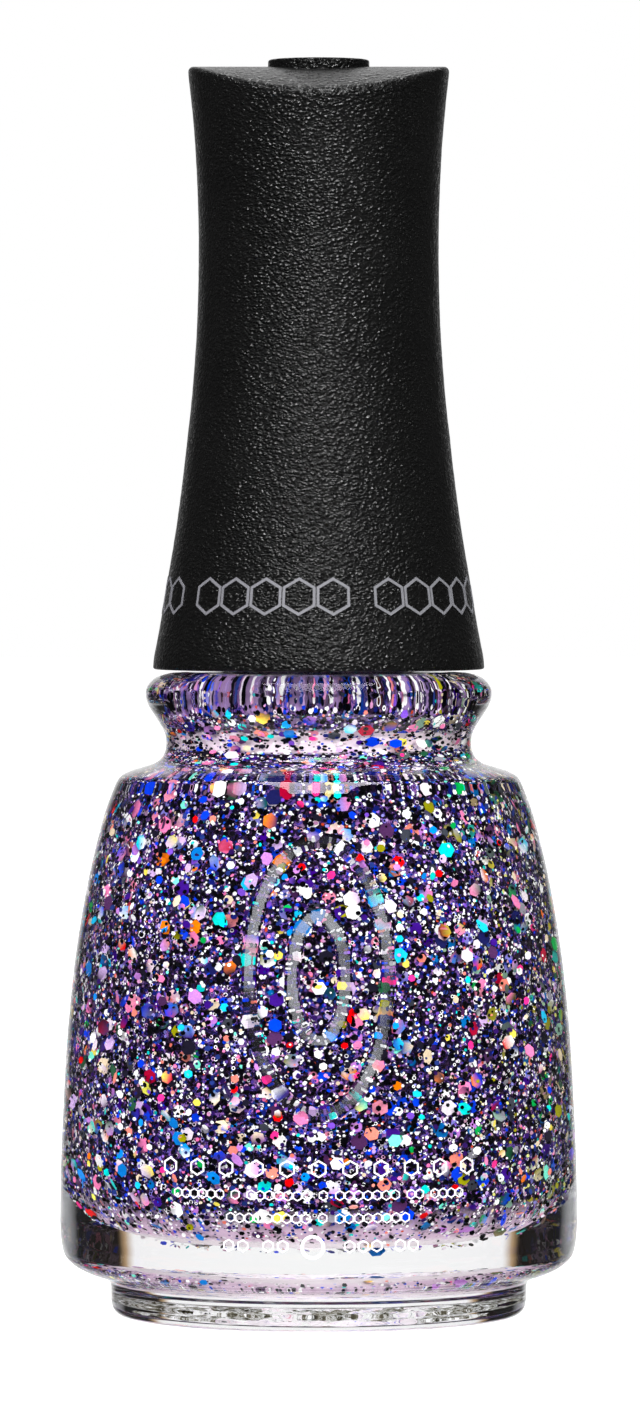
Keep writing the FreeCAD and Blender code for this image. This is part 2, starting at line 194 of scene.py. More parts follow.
# ------------------------------------------------------------------ node helpers
class Tree:
    def __init__(self, name):
        self.mat = bpy.data.materials.new(name)
        self.mat.use_nodes = True
        self.nt = self.mat.node_tree
        self.nt.nodes.clear()
        self.out = self.nt.nodes.new("ShaderNodeOutputMaterial")
        self.coord = self.nt.nodes.new("ShaderNodeTexCoord").outputs["Object"]

    def n(self, kind, **inputs):
        node = self.nt.nodes.new("ShaderNode" + kind)
        for k, v in list(inputs.items()):
            if not k[0].isupper() and hasattr(node, k):
                setattr(node, k, v)
                inputs.pop(k)
        for k, v in inputs.items():
            self.put(node.inputs[k.replace("_", " ")], v)
        return node

    def put(self, sock, v):
        if isinstance(v, bpy.types.NodeSocket):
            self.nt.links.new(v, sock)
        else:
            sock.default_value = v

    def math(self, op, a, b=0.0, clamp=False):
        node = self.nt.nodes.new("ShaderNodeMath")
        node.operation = op
        node.use_clamp = clamp
        self.put(node.inputs[0], a)
        self.put(node.inputs[1], b)
        return node.outputs[0]

    def ramp(self, fac, stops, mode="LINEAR"):
        node = self.nt.nodes.new("ShaderNodeValToRGB")
        cr = node.color_ramp
        cr.interpolation = mode
        while len(cr.elements) < len(stops):
            cr.elements.new(0.5)
        for e, (p, c) in zip(cr.elements, stops):
            e.position = p
            e.color = c if len(c) == 4 else tuple(c) + (1,)
        self.put(node.inputs[0], fac)
        return node.outputs["Color"]

    def value_ramp(self, fac, stops, mode="LINEAR"):
        return self.ramp(fac, [(p, (v, v, v, 1)) for p, v in stops], mode)

    def mix(self, fac, a, b, blend="MIX"):
        node = self.nt.nodes.new("ShaderNodeMix")
        node.data_type = "RGBA"
        node.blend_type = blend
        node.clamp_factor = True
        self.put(node.inputs["Factor"], fac)
        self.put(node.inputs["A"], a)
        self.put(node.inputs["B"], b)
        return node.outputs["Result"]

    def noise(self, scale, detail=2.0, rough=0.5, coord=None, dims="3D", dist=0.0):
        node = self.nt.nodes.new("ShaderNodeTexNoise")
        node.noise_dimensions = dims
        self.put(node.inputs["Vector"], coord or self.coord)
        node.inputs["Scale"].default_value = scale
        node.inputs["Detail"].default_value = detail
        node.inputs["Roughness"].default_value = rough
        node.inputs["Distortion"].default_value = dist
        return node.outputs["Fac"]

    def voronoi(self, scale, coord=None, feature="F1", rand=1.0):
        node = self.nt.nodes.new("ShaderNodeTexVoronoi")
        node.feature = feature
        self.put(node.inputs["Vector"], coord or self.coord)
        node.inputs["Scale"].default_value = scale
        node.inputs["Randomness"].default_value = rand
        return node

    def stretch(self, sx, sy, sz):
        node = self.nt.nodes.new("ShaderNodeMapping")
        self.put(node.inputs["Vector"], self.coord)
        node.inputs["Scale"].default_value = (sx, sy, sz)
        return node.outputs[0]

    def xyz(self, v):
        node = self.nt.nodes.new("ShaderNodeSeparateXYZ")
        self.put(node.inputs[0], v)
        return node.outputs

    def bump(self, height, strength=0.5, dist=0.0001, normal=None):
        node = self.nt.nodes.new("ShaderNodeBump")
        node.inputs["Strength"].default_value = strength
        node.inputs["Distance"].default_value = dist
        self.put(node.inputs["Height"], height)
        if normal is not None:
            self.put(node.inputs["Normal"], normal)
        return node.outputs[0]

    def principled(self, **inputs):
        node = self.n("BsdfPrincipled", **inputs)
        return node

    def finish(self, shader):
        self.nt.links.new(shader, self.out.inputs["Surface"])
        return self.mat


# ------------------------------------------------------------------ materials
def glass_material(name="clear_glass", tint=1.0):
    """Clear soda-lime glass with faint waviness; lamps reach what is inside."""
    t = Tree(name)
    wave = t.noise(260, 2.0, 0.5)
    fine = t.noise(1500, 2.0, 0.5)
    height = t.math("ADD", wave, t.math("MULTIPLY", fine, 0.03))
    p = t.principled(Roughness=0.0, IOR=1.5)
    p.inputs["Base Color"].default_value = (0.985, 0.992, 0.992, 1)
    p.inputs["Transmission Weight"].default_value = 1.0
    p.inputs["Specular Tint"].default_value = (tint, tint, tint, 1)
    t.put(p.inputs["Normal"], t.bump(height, 0.25, 0.00006))
    tr = t.n("BsdfTransparent")
    tr.inputs["Color"].default_value = (0.97, 0.975, 0.975, 1)
    lp = t.nt.nodes.new("ShaderNodeLightPath")
    mix = t.nt.nodes.new("ShaderNodeMixShader")
    t.nt.links.new(lp.outputs["Is Shadow Ray"], mix.inputs[0])
    t.nt.links.new(p.outputs[0], mix.inputs[1])
    t.nt.links.new(tr.outputs[0], mix.inputs[2])
    return t.finish(mix.outputs[0])


def foot_reflection_patches_material():
    """Patches under the foot with painted reflection: grey, olive, brown, black and white grit standing in for the
    glitter reflected in the base, opaque and matt.
    """
    t = Tree("glass_foot_painted_reflection")
    n1, n2 = t.noise(2300, 3.0, 0.7), t.noise(700, 2.0, 0.5)
    reflection_grit = t.ramp(n1, [(0.36, lin("#080604")), (0.44, lin("#2c2a20")), (0.49, lin("#6f6f68")), (0.53, lin("#c4c8c8")), (0.57, lin("#3c3a2a")), (0.64, lin("#e4e8ea"))])
    p = t.principled(IOR=1.45)
    t.put(p.inputs["Base Color"], t.mix(t.value_ramp(n2, [(0.40, 0.0), (0.62, 0.35)]), reflection_grit, lin("#77735e")))
    t.put(p.inputs["Roughness"], t.value_ramp(n2, [(0.35, 0.55), (0.65, 0.75)]))
    p.inputs["Specular IOR Level"].default_value = 0.0
    t.put(p.inputs["Normal"], t.bump(n2, 0.3, 0.00008))
    return t.finish(p.outputs[0])


def frosted_material():
    """Faintly matt faces of the raised ovals, worn clearer in places."""
    t = Tree("glass_frosted_raised")
    n2, veil = t.noise(420, 2.0, 0.5), t.noise(150, 2.0, 0.5)
    p = t.principled(IOR=1.5)
    t.put(p.inputs["Base Color"], t.ramp(n2, [(0.3, (0.30, 0.31, 0.33, 1)), (0.7, (0.42, 0.43, 0.45, 1))]))
    t.put(p.inputs["Roughness"], t.value_ramp(n2, [(0.35, 0.0), (0.65, 0.035)]))
    t.put(p.inputs["Transmission Weight"], t.value_ramp(veil, [(0.40, 0.99), (0.60, 0.84)]))
    t.put(p.inputs["Normal"], t.bump(n2, 0.2, 0.00003))
    tr = t.n("BsdfTransparent")
    tr.inputs["Color"].default_value = (0.85, 0.855, 0.86, 1)
    lp = t.nt.nodes.new("ShaderNodeLightPath")
    mix = t.nt.nodes.new("ShaderNodeMixShader")
    t.nt.links.new(lp.outputs["Is Shadow Ray"], mix.inputs[0])
    t.nt.links.new(p.outputs[0], mix.inputs[1])
    t.nt.links.new(tr.outputs[0], mix.inputs[2])
    return t.finish(mix.outputs[0])


def wetted_material():
    """Inside of the glass where the lacquer wets it: same index on both sides, so light goes straight on."""
    t = Tree("glass_wetted_inside")
    tr = t.n("BsdfTransparent")
    tr.inputs["Color"].default_value = (1, 1, 1, 1)
    return t.finish(tr.outputs[0])


PALETTE = {
    "white": "#ffffff", "pearl": "#efe3ee", "lavender": "#cdb0de", "orchid": "#c68bd8", "pink": "#ee86b4", "hotpink": "#f0468f",
    "rose": "#d98aa0", "salmon": "#ee8d7e", "red": "#e0262c", "crimson": "#a31536", "orange": "#f07e28", "amber": "#eab233",
    "yellow": "#f8e36a", "cream": "#ead7b9", "olive": "#8c8a24", "green": "#1ba04c", "forest": "#1f4d34", "mint": "#7fe8cf",
    "turquoise": "#2fd3cd", "cyan": "#3fc4ee", "sky": "#2e8fe8", "royal": "#2746d8", "blue": "#1f6fb8", "navy": "#1a1c4e",
    "ink": "#15131f", "violet": "#3b1c7c", "plum": "#47294f", "purple": "#7a52c4", "slate": "#3a3d46", "grey": "#8a8792"}


def lacquer_material():
    """Deep glitter in a purple base: dense specks at three scales, with painted backlight making it paler where the
    liquid is thin and painted light making the floor of the liquid pale.
    """
    t = Tree("glitter_lacquer")
    z = t.xyz(t.coord)[2]
    base = t.ramp(t.noise(1700, 4.0, 0.7, dist=0.6), [
        (0.36, lin("#020204")), (0.455, lin("#040408")), (0.475, lin("#4a3450")), (0.49, lin("#05050a")), (0.535, lin("#101436")), (0.56, lin("#5c4f9c")),
        (0.575, lin("#0a0a18")), (0.605, lin("#c08ad0")), (0.62, lin("#0f1030")), (0.67, lin("#6a68d8")), (0.74, lin("#2b3a9a"))])
    # painted backlight: pale zones where light would show through the thin liquid, at the throat under the groove and
    # at the curved edge of the floor
    throat_backlight = t.math("MULTIPLY",
                    t.value_ramp(t.math("MULTIPLY", z, 10.0), [(0.3830, 0.0), (0.3855, 1.0)]),
                    t.value_ramp(t.math("MULTIPLY", z, 10.0), [(0.4075, 1.0), (0.4100, 0.0)]))
    floor = t.value_ramp(t.math("MULTIPLY", z, 40.0), [(0.262, 1.0), (0.330, 0.0)])
    film = t.value_ramp(t.math("MULTIPLY", z, 10.0), [(0.4245, 0.0), (0.4272, 1.0)])
    streak = t.noise(1.0, 3.0, 0.6, coord=t.stretch(1500, 1500, 90))
    filmed = t.ramp(streak, [(0.40, lin("#030305")), (0.445, lin("#14101c")), (0.46, lin("#2a4a86")), (0.47, lin("#060508")), (0.505, lin("#2c2138")), (0.52, lin("#7a4630")), (0.53, lin("#08060a")), (0.56, lin("#a08cba")), (0.585, lin("#08070c")), (0.62, lin("#4c4264")), (0.645, lin("#e6d9e8"))])
    # painted backlight: the throat and the floor edge mixed towards pinkish white
    base = t.mix(t.math("MULTIPLY", throat_backlight, t.value_ramp(t.noise(1100, 3.0, 0.6), [(0.34, 0.5), (0.42, 1.0)])), base, lin("#f0e0ea"))
    base = t.mix(t.math("MULTIPLY", floor, t.value_ramp(t.noise(1300, 3.0, 0.6), [(0.34, 0.4), (0.46, 0.95)])), base, lin("#dcc3d7"))
    # painted light: the underside of the liquid painted near-white, as if lit through the base from below
    base = t.mix(t.value_ramp(t.math("MULTIPLY", z, 100.0), [(0.556, 0.85), (0.560, 0.0)]), base, lin("#efeaee"))
    collar = t.value_ramp(t.math("MULTIPLY", z, 10.0), [(0.4105, 0.0), (0.4150, 1.0)])
    base = t.mix(t.math("MULTIPLY", collar, t.value_ramp(t.noise(900, 3.0, 0.65), [(0.45, 0.0), (0.54, 0.70)])), base, lin("#a98fba"))
    # mask of the painted backlight, where fewer specks are kept
    painted_backlight = t.math("MAXIMUM", throat_backlight, t.math("MULTIPLY", floor, 0.85))

    def layer(below, scale, radius, stops, share, edge=0.07, backlight_keep=1.0, rim=None):
        v = t.voronoi(scale)
        rnd = t.xyz(v.outputs["Color"])
        dot = t.value_ramp(v.outputs["Distance"], [(radius - edge, 1.0), (radius, 0.0)])
        on = t.math("LESS_THAN", rnd[1], share)
        if backlight_keep < 1.0:
            keep = t.math("GREATER_THAN", rnd[2], t.math("MULTIPLY", painted_backlight, 1.0 - backlight_keep))
            on = t.math("MULTIPLY", on, keep)
        colour = t.ramp(rnd[0], stops, "CONSTANT")
        # painted highlight: most of these specks get a dark centre, leaving a pale ring like a glint round a dark
        # flake
        if rim is not None:
            inside = t.value_ramp(v.outputs["Distance"], [(rim - 0.03, 1.0), (rim + 0.01, 0.0)])
            colour = t.mix(t.math("MULTIPLY", inside, t.math("LESS_THAN", rnd[2], 0.75)), colour, lin("#040406"))
        return t.mix(t.math("MULTIPLY", dot, on), below, colour)

    P = PALETTE
    tiny = [(0.0, lin("#010102")), (0.50, lin(P["white"])), (0.57, lin("#a680dc")), (0.63, lin("#273675")),
            (0.70, lin(P["white"])), (0.85, lin("#8d6f9a")), (0.90, lin("#1f50cf")), (0.96, lin("#c95f4e"))]
    # painted highlights: pale specks that become rings round dark centres
    rim_highlight = [(0.0, lin(P["white"])), (0.55, lin(P["pearl"])), (0.75, lin("#d8a8c8")), (0.88, lin("#8f8ad6"))]
    small = [(0.0, lin("#020203")), (0.38, lin(P["white"])), (0.46, lin(P["lavender"])), (0.53, lin(P["royal"])), (0.60, lin(P["pink"])),
             (0.66, lin("#1b1a34")), (0.76, lin(P["pearl"])), (0.82, lin(P["turquoise"])), (0.86, lin(P["salmon"])), (0.90, lin("#5d4a96")), (0.96, lin(P["cream"]))]
    mid = [(0.0, lin(P["ink"])), (0.18, lin(P["royal"])), (0.28, lin(P["orchid"])), (0.37, lin(P["plum"])), (0.47, lin(P["white"])),
           (0.53, lin(P["violet"])), (0.62, lin(P["rose"])), (0.69, lin(P["slate"])), (0.79, lin("#273675")), (0.86, lin(P["blue"])), (0.93, lin("#8e8bd1"))]
    col = layer(base, 1050, 0.47, mid, 0.42, backlight_keep=0.25)
    col = layer(col, 4200, 0.44, tiny, 0.80, 0.08, backlight_keep=0.30)
    col = layer(col, 3100, 0.43, rim_highlight, 0.32, 0.05, backlight_keep=0.45, rim=0.28)
    col = layer(col, 2600, 0.36, small, 0.50, 0.04, backlight_keep=0.35)
    col = t.mix(t.math("MULTIPLY", film, 0.92), col, filmed)
    # painted light: the curved edge of the liquid's floor painted pale, standing in for light refracted through the
    # base
    edge = t.math("MULTIPLY", t.value_ramp(t.math("MULTIPLY", z, 100.0), [(0.585, 0.94), (0.612, 0.0)]), t.value_ramp(t.math("MULTIPLY", z, 100.0), [(0.556, 0.0), (0.560, 1.0)]))
    col = t.mix(edge, col, lin("#f2e9ee"))
    hs = t.nt.nodes.new("ShaderNodeHueSaturation")
    hs.inputs["Saturation"].default_value = 1.12
    t.put(hs.inputs["Color"], col)
    col = hs.outputs["Color"]
    rough = t.value_ramp(t.voronoi(2700).outputs["Distance"], [(0.25, 0.25), (0.5, 0.5)])
    p = t.principled(IOR=1.45)
    t.put(p.inputs["Base Color"], col)
    t.put(p.inputs["Roughness"], rough)
    p.inputs["Specular IOR Level"].default_value = 0.08
    t.put(p.inputs["Normal"], t.bump(t.voronoi(2700).outputs["Distance"], 0.3, 0.00006))
    return t.finish(p.outputs[0])


def flake_material(name, metallic, rough):
    """Cut film glitter: each flake's own colour, with a faint hairline grain."""
    t = Tree(name)
    att = t.nt.nodes.new("ShaderNodeAttribute")
    att.attribute_name = "flake"
    grain = t.noise(1.0, 2.0, 0.6, coord=t.stretch(9000, 2500, 9000))
    shade = t.value_ramp(grain, [(0.3, 0.82), (0.7, 1.12)])
    col = t.mix(1.0, att.outputs["Color"], shade, "MULTIPLY")
    p = t.principled(Metallic=metallic, IOR=1.45)
    t.put(p.inputs["Base Color"], col)
    t.put(p.inputs["Roughness"], t.value_ramp(grain, [(0.3, rough), (0.7, rough + 0.12)]))
    p.inputs["Specular IOR Level"].default_value = 0.12
    return t.finish(p.outputs[0])


def grained_black(name="black_grained_plastic"):
    """Black soft-touch moulding with a fine leather-like grain."""
    t = Tree(name)
    warp = t.noise(900, 2.0, 0.5)
    node = t.nt.nodes.new("ShaderNodeVectorMath")
    node.operation = "MULTIPLY_ADD"
    t.put(node.inputs[0], warp)
    node.inputs[1].default_value = (0.00028, 0.00028, 0.00028)
    t.put(node.inputs[2], t.stretch(0.85, 0.85, 1.30))
    v1 = t.voronoi(3000, coord=node.outputs[0])
    v2 = t.voronoi(5200, coord=node.outputs[0])
    cells = t.value_ramp(v1.outputs["Distance"], [(0.10, 1.0), (0.55, 0.0)])
    fine = t.value_ramp(v2.outputs["Distance"], [(0.10, 1.0), (0.60, 0.0)])
    pores = t.noise(6000, 3.0, 0.6)
    height = t.math("ADD", t.math("MULTIPLY", cells, 0.75), t.math("ADD", t.math("MULTIPLY", fine, 0.30), t.math("MULTIPLY", pores, 0.25)))
    broad = t.noise(160, 3.0, 0.5)
    colour = t.ramp(height, [(0.25, lin("#020202")), (0.9, lin("#060606"))])
    colour = t.mix(t.value_ramp(broad, [(0.35, 0.0), (0.7, 0.3)]), colour, lin("#070707"))
    p = t.principled(IOR=1.5)
    t.put(p.inputs["Base Color"], colour)
    t.put(p.inputs["Roughness"], t.value_ramp(height, [(0.2, 0.42), (0.9, 0.24)]))
    p.inputs["Specular IOR Level"].default_value = 0.45
    t.put(p.inputs["Normal"], t.bump(height, 1.0, 0.00012))
    return t.finish(p.outputs[0])


def plastic(name, colour, rough=0.4, spec=0.5, grain=1800, vary=0.06):
    t = Tree(name)
    n1, n2 = t.noise(grain, 3.0, 0.6), t.noise(120, 2.0, 0.5)
    base = lin(colour)
    dark = tuple(c * (1 - 2 * vary) for c in base[:3]) + (1,)
    p = t.principled(IOR=1.5)
    t.put(p.inputs["Base Color"], t.ramp(n2, [(0.3, dark), (0.7, base)]))
    t.put(p.inputs["Roughness"], t.value_ramp(n1, [(0.3, rough - 0.06), (0.7, rough + 0.08)]))
    p.inputs["Specular IOR Level"].default_value = spec
    t.put(p.inputs["Normal"], t.bump(n1, 0.12, 0.00004))
    return t.finish(p.outputs[0])


def metal(name, colour, rough=0.2, grain=3000):
    t = Tree(name)
    n1, n2 = t.noise(grain, 3.0, 0.6), t.noise(300, 2.0, 0.5)
    base = lin(colour)
    dark = tuple(c * 0.82 for c in base[:3]) + (1,)
    p = t.principled(Metallic=1.0)
    t.put(p.inputs["Base Color"], t.ramp(n2, [(0.3, dark), (0.7, base)]))
    t.put(p.inputs["Roughness"], t.value_ramp(n1, [(0.3, max(rough - 0.06, 0.03)), (0.7, rough + 0.1)]))
    t.put(p.inputs["Normal"], t.bump(n1, 0.1, 0.00002))
    return t.finish(p.outputs[0])


GLASS = glass_material()
WETTED = wetted_material()
FROSTED = frosted_material()
FOOT_REFLECTION_PATCHES = foot_reflection_patches_material()
# painted shade: the rolled lip's reflections dimmed to a quarter, standing in for the cap shading it from the lamps
GLASS_LIP_DIMMED = glass_material("clear_glass_lip_painted_shade", 0.25)
LACQUER = lacquer_material()
FLAKE = flake_material("glitter_flake_film", 0.10, 0.30)
SPECK = flake_material("glitter_speck_film", 0.10, 0.35)
BLACK = grained_black()
WHITE = plastic("white_plastic", "#dfdfdb", 0.42)
STEM = plastic("stem_plastic", "#121214", 0.22, 0.5, 2600)
STEEL = metal("ball_steel", "#b9bcc0", 0.14)
BRASS = metal("anchor_brass", "#c9a45a", 0.25)
SILVER = plastic("silver_print", "#47474b", 0.5, 0.4, 5000, 0.05)
PRINT = plastic("white_glass_print", "#aaa8ac", 0.5, 0.3, 5000, 0.02)
PAPER = plastic("label_paper", "#dcdcd8", 0.7, 0.2, 2400, 0.04)

# ------------------------------------------------------------------ glass bottle
FOOT = [(13.20, 0.0), (13.80, 0.10), (14.14, 0.45), (14.27, 1.05)]
WAIST = [(14.27, 1.85), (14.42, 2.32), (14.98, 2.68), (15.95, 3.00), (16.82, 3.45), (17.42, 4.05), (17.65, 4.80), (17.76, 5.90)]
BODY = [(17.77, 7.60), (17.73, 9.90), (17.66, 11.97), (17.56, 14.03), (17.46, 16.09), (17.34, 18.15), (17.18, 20.20), (16.98, 22.26),
        (16.74, 24.32), (16.44, 26.38), (16.09, 28.43), (15.68, 30.49), (15.19, 32.55), (14.62, 34.61), (14.02, 36.22)]
SHOULDER = [(14.02, 36.22), (13.64, 36.88), (13.00, 37.26), (12.05, 37.56), (11.20, 37.86), (10.72, 38.27), (10.50, 38.80), (10.46, 39.25)]
COLLAR = [(10.46, 39.25), (10.52, 39.75), (10.72, 40.25), (11.22, 41.06), (11.62, 41.70), (11.82, 42.20), (11.87, 42.55), (11.80, 43.00),
          (11.42, 43.52), (10.94, 43.82), (10.20, 44.03), (9.30, 44.10)]
FILL_Z = 42.40
FILM_Z = 43.06            # the wall stays coated above the liquid
outer = join(
    line((0.0, 0.60), (10.6, 0.60), 0.45), corner((9, 0.6), (11.0, 0.60), (11.25, 0.0), 0.22), corner((11.0, 0.6), (11.25, 0.0), (13.2, 0.0), 0.10, 3),
    line((11.5, 0.0), (13.0, 0.0), 0.25), smooth(FOOT, 0.12), line(FOOT[-1], WAIST[0], 0.2), smooth(WAIST + [BODY[0]], 0.16),
    smooth([(17.77, 7.0)] + BODY, 0.16)[4:], smooth(BODY[-2:-1] + SHOULDER, 0.14)[15:], smooth(COLLAR, 0.14),
    line((9.3, 44.1), (6.9, 44.1), 0.6), smooth([(6.55, 44.10), (6.05, 44.25), (5.80, 44.70)], 0.12),
    line((5.8, 44.9), (5.8, 54.9), 0.14), corner((5.8, 50), (5.8, 55.4), (4.0, 55.4), 0.28), corner((5.8, 55.4), (4.0, 55.4), (4.0, 50), 0.28))
WALL = [(7.34, FILM_Z), (8.05, 42.92), (8.55, 42.78), (8.88, 42.56), (9.00, 42.20), (9.00, 41.85), (8.55, 40.90), (8.10, 39.80), (8.00, 38.80), (8.33, 37.70), (8.97, 36.60), (9.64, 35.20), (10.30, 33.20),
        (10.88, 30.80), (11.39, 28.00), (11.78, 25.00), (12.08, 22.00), (12.28, 19.00), (12.40, 16.40), (12.46, 13.80), (12.44, 11.60), (12.00, 8.85),
        (11.00, 6.95), (9.45, 5.72), (7.40, 5.30)]
FLOOR_Z = 5.30
inner = join(
    line((4.0, 54.9), (4.0, 46.4), 0.6), smooth([(4.0, 46.4), (4.0, 45.6), (4.7, 44.2), (5.9, 43.4), (7.34, FILM_Z)], 0.2),
    smooth(WALL, 0.35), line((7.40, FLOOR_Z), (0.0, FLOOR_Z), 1.5))
glass_profile = join(outer, inner)
OVAL = [(4.65, 9.05), (1.75, 4.1)]      # centrelines of the two embossed rings, half width and half height
OVAL_Z = 24.0
PITCH, TURNS, THREAD_Z = 2.117, 1.75, 49.6


def oval_gap(x, dz):
    """Distance from the nearer oval's centreline."""
    best = 9.0
    for hw, hh in OVAL:
        f = (x / hw) ** 2 + (dz / hh) ** 2 - 1
        g = math.hypot(2 * x / hw ** 2, 2 * dz / hh ** 2)
        if g > 1e-9:
            best = min(best, abs(f / g))
    return best


def glass_shape(r, z, phi):
    a = (phi + math.pi) % (2 * math.pi) - math.pi
    if r > 13.5 and 12.5 < z < 35.5 and abs(a) < 0.42:
        x, dz = r * math.sin(a), z - OVAL_Z
        d = oval_gap(x, dz)
        if d < 0.50:
            r += 0.035 * (0.5 - 0.5 * math.cos(math.pi * min(1.0, (0.50 - d) / 0.20)))
    if z < 0.75 and 0.3 < r < 13.4:
        # uneven moulding of the recess roof and the stippled bearing ring
        if z > 0.5:
            z += 0.03 + 0.13 * (1 + math.sin(r * 2.3 + 1.7 * math.sin(a * 5)) * math.sin(a * 17 + r * 0.8)) * min(1.0, (11.0 - r) / 0.8 if r < 11.0 else 0.0)
        elif r > 11.3:
            z += 0.10 * (0.5 + 0.5 * math.sin(a * 62 + 1.3 * math.sin(a * 9))) * (0.5 - 0.5 * math.cos(2 * math.pi * min(1.0, max(0.0, (r - 11.3) / 1.9))))
    if 42.75 < z < 44.08 and r > 9.6:
        # hand-warm ripples left in the rolled lip
        r += 0.022 * math.sin(a * 61 + 2.2 * math.sin(a * 9) + z * 3.1) * math.sin(a * 23 + z * 5.0)
    if 5.75 < r < 5.85 and 46.5 < z < 54.8:
        # right-handed ridge, fading at both ends
        best = 0.0
        for k in range(-1, 4):
            turn = (a / (2 * math.pi)) + k
            if -0.08 < turn < TURNS + 0.08:
                fade = min(1.0, max(0.0, (turn + 0.08) / 0.16), max(0.0, (TURNS + 0.08 - turn) / 0.16))
                d = abs(z - (THREAD_Z + PITCH * turn))
                if d < 0.68:
                    best = max(best, fade * min(1.0, (0.68 - d) / 0.40))
        r += 0.68 * best
    return (r * math.sin(a), -r * math.cos(a), z)


n_wet = [i for i, (r, z) in enumerate(glass_profile) if i > len(outer) and z <= FILM_Z + 1e-6][0]
cols = front_angles(0.42, 21, 1.5)


REFLECTION_PADS = []                # patches of painted reflection under the foot, three rows of rounded pads: centre x, centre y, half sizes
for px, w in ((-8.1, 2.5), (-3.9, 1.4), (0.5, 1.7), (3.6, 0.7), (7.6, 2.3)):
    for py, h in ((-6.8, 2.5), (-2.1, 2.5), (2.6, 2.5), (7.2, 2.3)):
        if math.hypot(px, py) < 10.9:
            REFLECTION_PADS.append((px, py, w, h))


def frosted(i, k, m):
    if m or i >= len(outer) - 1:
        return m
    r, z = (glass_profile[i][0] + glass_profile[i + 1][0]) / 2, (glass_profile[i][1] + glass_profile[i + 1][1]) / 2
    # painted shade: the rolled lip gets the glass with dimmed reflections
    if 42.7 < z < 44.2 and r > 9.3:
        return 4
    # painted reflection: opaque grit patches on the recess roof under the foot
    if z < 0.72 and 2.0 < r < 11.1:
        a = (cols[k] + cols[(k + 1) % len(cols)]) / 2
        x, y = r * math.sin(a), -r * math.cos(a)
        return 3 if any(((x - px) / w) ** 2 + ((y - py) / h) ** 2 < 1 for px, py, w, h in REFLECTION_PADS) else m
    if r < 13.5 or not 12.5 < z < 35.5:
        return m
    a = (cols[k] + cols[(k + 1) % len(cols)]) / 2
    if not abs(a) < 0.42:
        return m
    return 2 if oval_gap(r * math.sin(a), z - OVAL_Z) < 0.34 else m


bottle_glass = lathe("bottle_glass", glass_profile, cols, [GLASS, WETTED, FROSTED, FOOT_REFLECTION_PATCHES, GLASS_LIP_DIMMED], lambda i: 1 if i >= n_wet else 0, glass_shape, face_mat=frosted,
                     body="bottle", slot="clear_glass")
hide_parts("bottle")

# ------------------------------------------------------------------ lacquer
wall_pts = smooth(WALL, 0.15) + line((7.25, FLOOR_Z), (5.0, FLOOR_Z), 0.15)
W = np.array(wall_pts)
T = np.gradient(W, axis=0)
T /= np.linalg.norm(T, axis=1)[:, None]
N = np.stack([-T[:, 1], T[:, 0]], 1)      # outward normal in (r, z), for a profile running down and in
if N[len(N) // 2, 0] < 0:
    N = -N
DEPTH = 0.95


def inset(i, d):
    return W[i] - N[i] * d


def wall_depth(z):
    """How far behind the glass the opaque body of the liquid begins."""
    return DEPTH * float(np.interp(z, [5.3, 5.8, 7.2, 9.5, 40.0, 41.6, 42.5, 43.1], [0.26, 0.30, 0.55, 1.0, 1.0, 0.60, 0.12, 0.05]))


core_side = [tuple(inset(i, wall_depth(W[i, 1]))) for i in range(0, len(W), 3)]
core_profile = join([(0.0, FILL_Z - 0.02)], line((1.0, FILL_Z - 0.02), (7.0, FILL_Z - 0.02), 0.8), [(7.25, FILL_Z + 0.10), (7.30, 42.85)], core_side,
                    line((core_side[-1][0] - 0.4, FLOOR_Z + DEPTH * 0.26), (0.0, FLOOR_Z + DEPTH * 0.26), 1.2))
lacquer = lathe("lacquer_core", core_profile, even_angles(256), [LACQUER], body="bottle", slot="glitter_lacquer")
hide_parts("lacquer")

# area weights along the wall, for scattering flakes
seg_len = np.linalg.norm(np.diff(W, axis=0), axis=1)
seg_r = (W[1:, 0] + W[:-1, 0]) / 2
seg_w = seg_len * seg_r
DEPTH_AT = np.array([wall_depth(z) for z in W[:, 1]]) / DEPTH


def scatter(n, d0, d1, rng, keep):
    """Random places in the liquid under the wall: position, outward normal, angle round the axis, height z."""
    zm = (W[1:, 1] + W[:-1, 1]) / 2
    w = seg_w * np.where(zm < 5.32, keep[3], 1.0) * np.interp(np.where(zm < 5.32, 8.2, zm), [5.3, 5.95, 6.1, 7.2, 8.2, 38.2, 38.6, 40.7, 41.1, 42.15, 42.35], [0.03, 0.03, keep[1], 0.75, 1, 1, keep[0], keep[0], 1, 1, keep[2]])
    n = int(round(n * w.sum() / seg_w.sum()))
    i = rng.choice(len(seg_w), n, p=w / w.sum())
    f = rng.random(n)[:, None]
    p = W[i] * (1 - f) + W[i + 1] * f
    nn = N[i]
    d = (d0 + (d1 - d0) * rng.random(n))[:, None]
    d = np.maximum(0.03, d * DEPTH_AT[i][:, None])
    q = p - nn * d
    a = rng.random(n) * 2 * math.pi
    s, c = np.sin(a), -np.cos(a)
    pos = np.stack([q[:, 0] * s, q[:, 0] * c, q[:, 1]], 1)
    nor = np.stack([nn[:, 0] * s, nn[:, 0] * c, nn[:, 1]], 1)
    return pos, nor, a, p[:, 1]


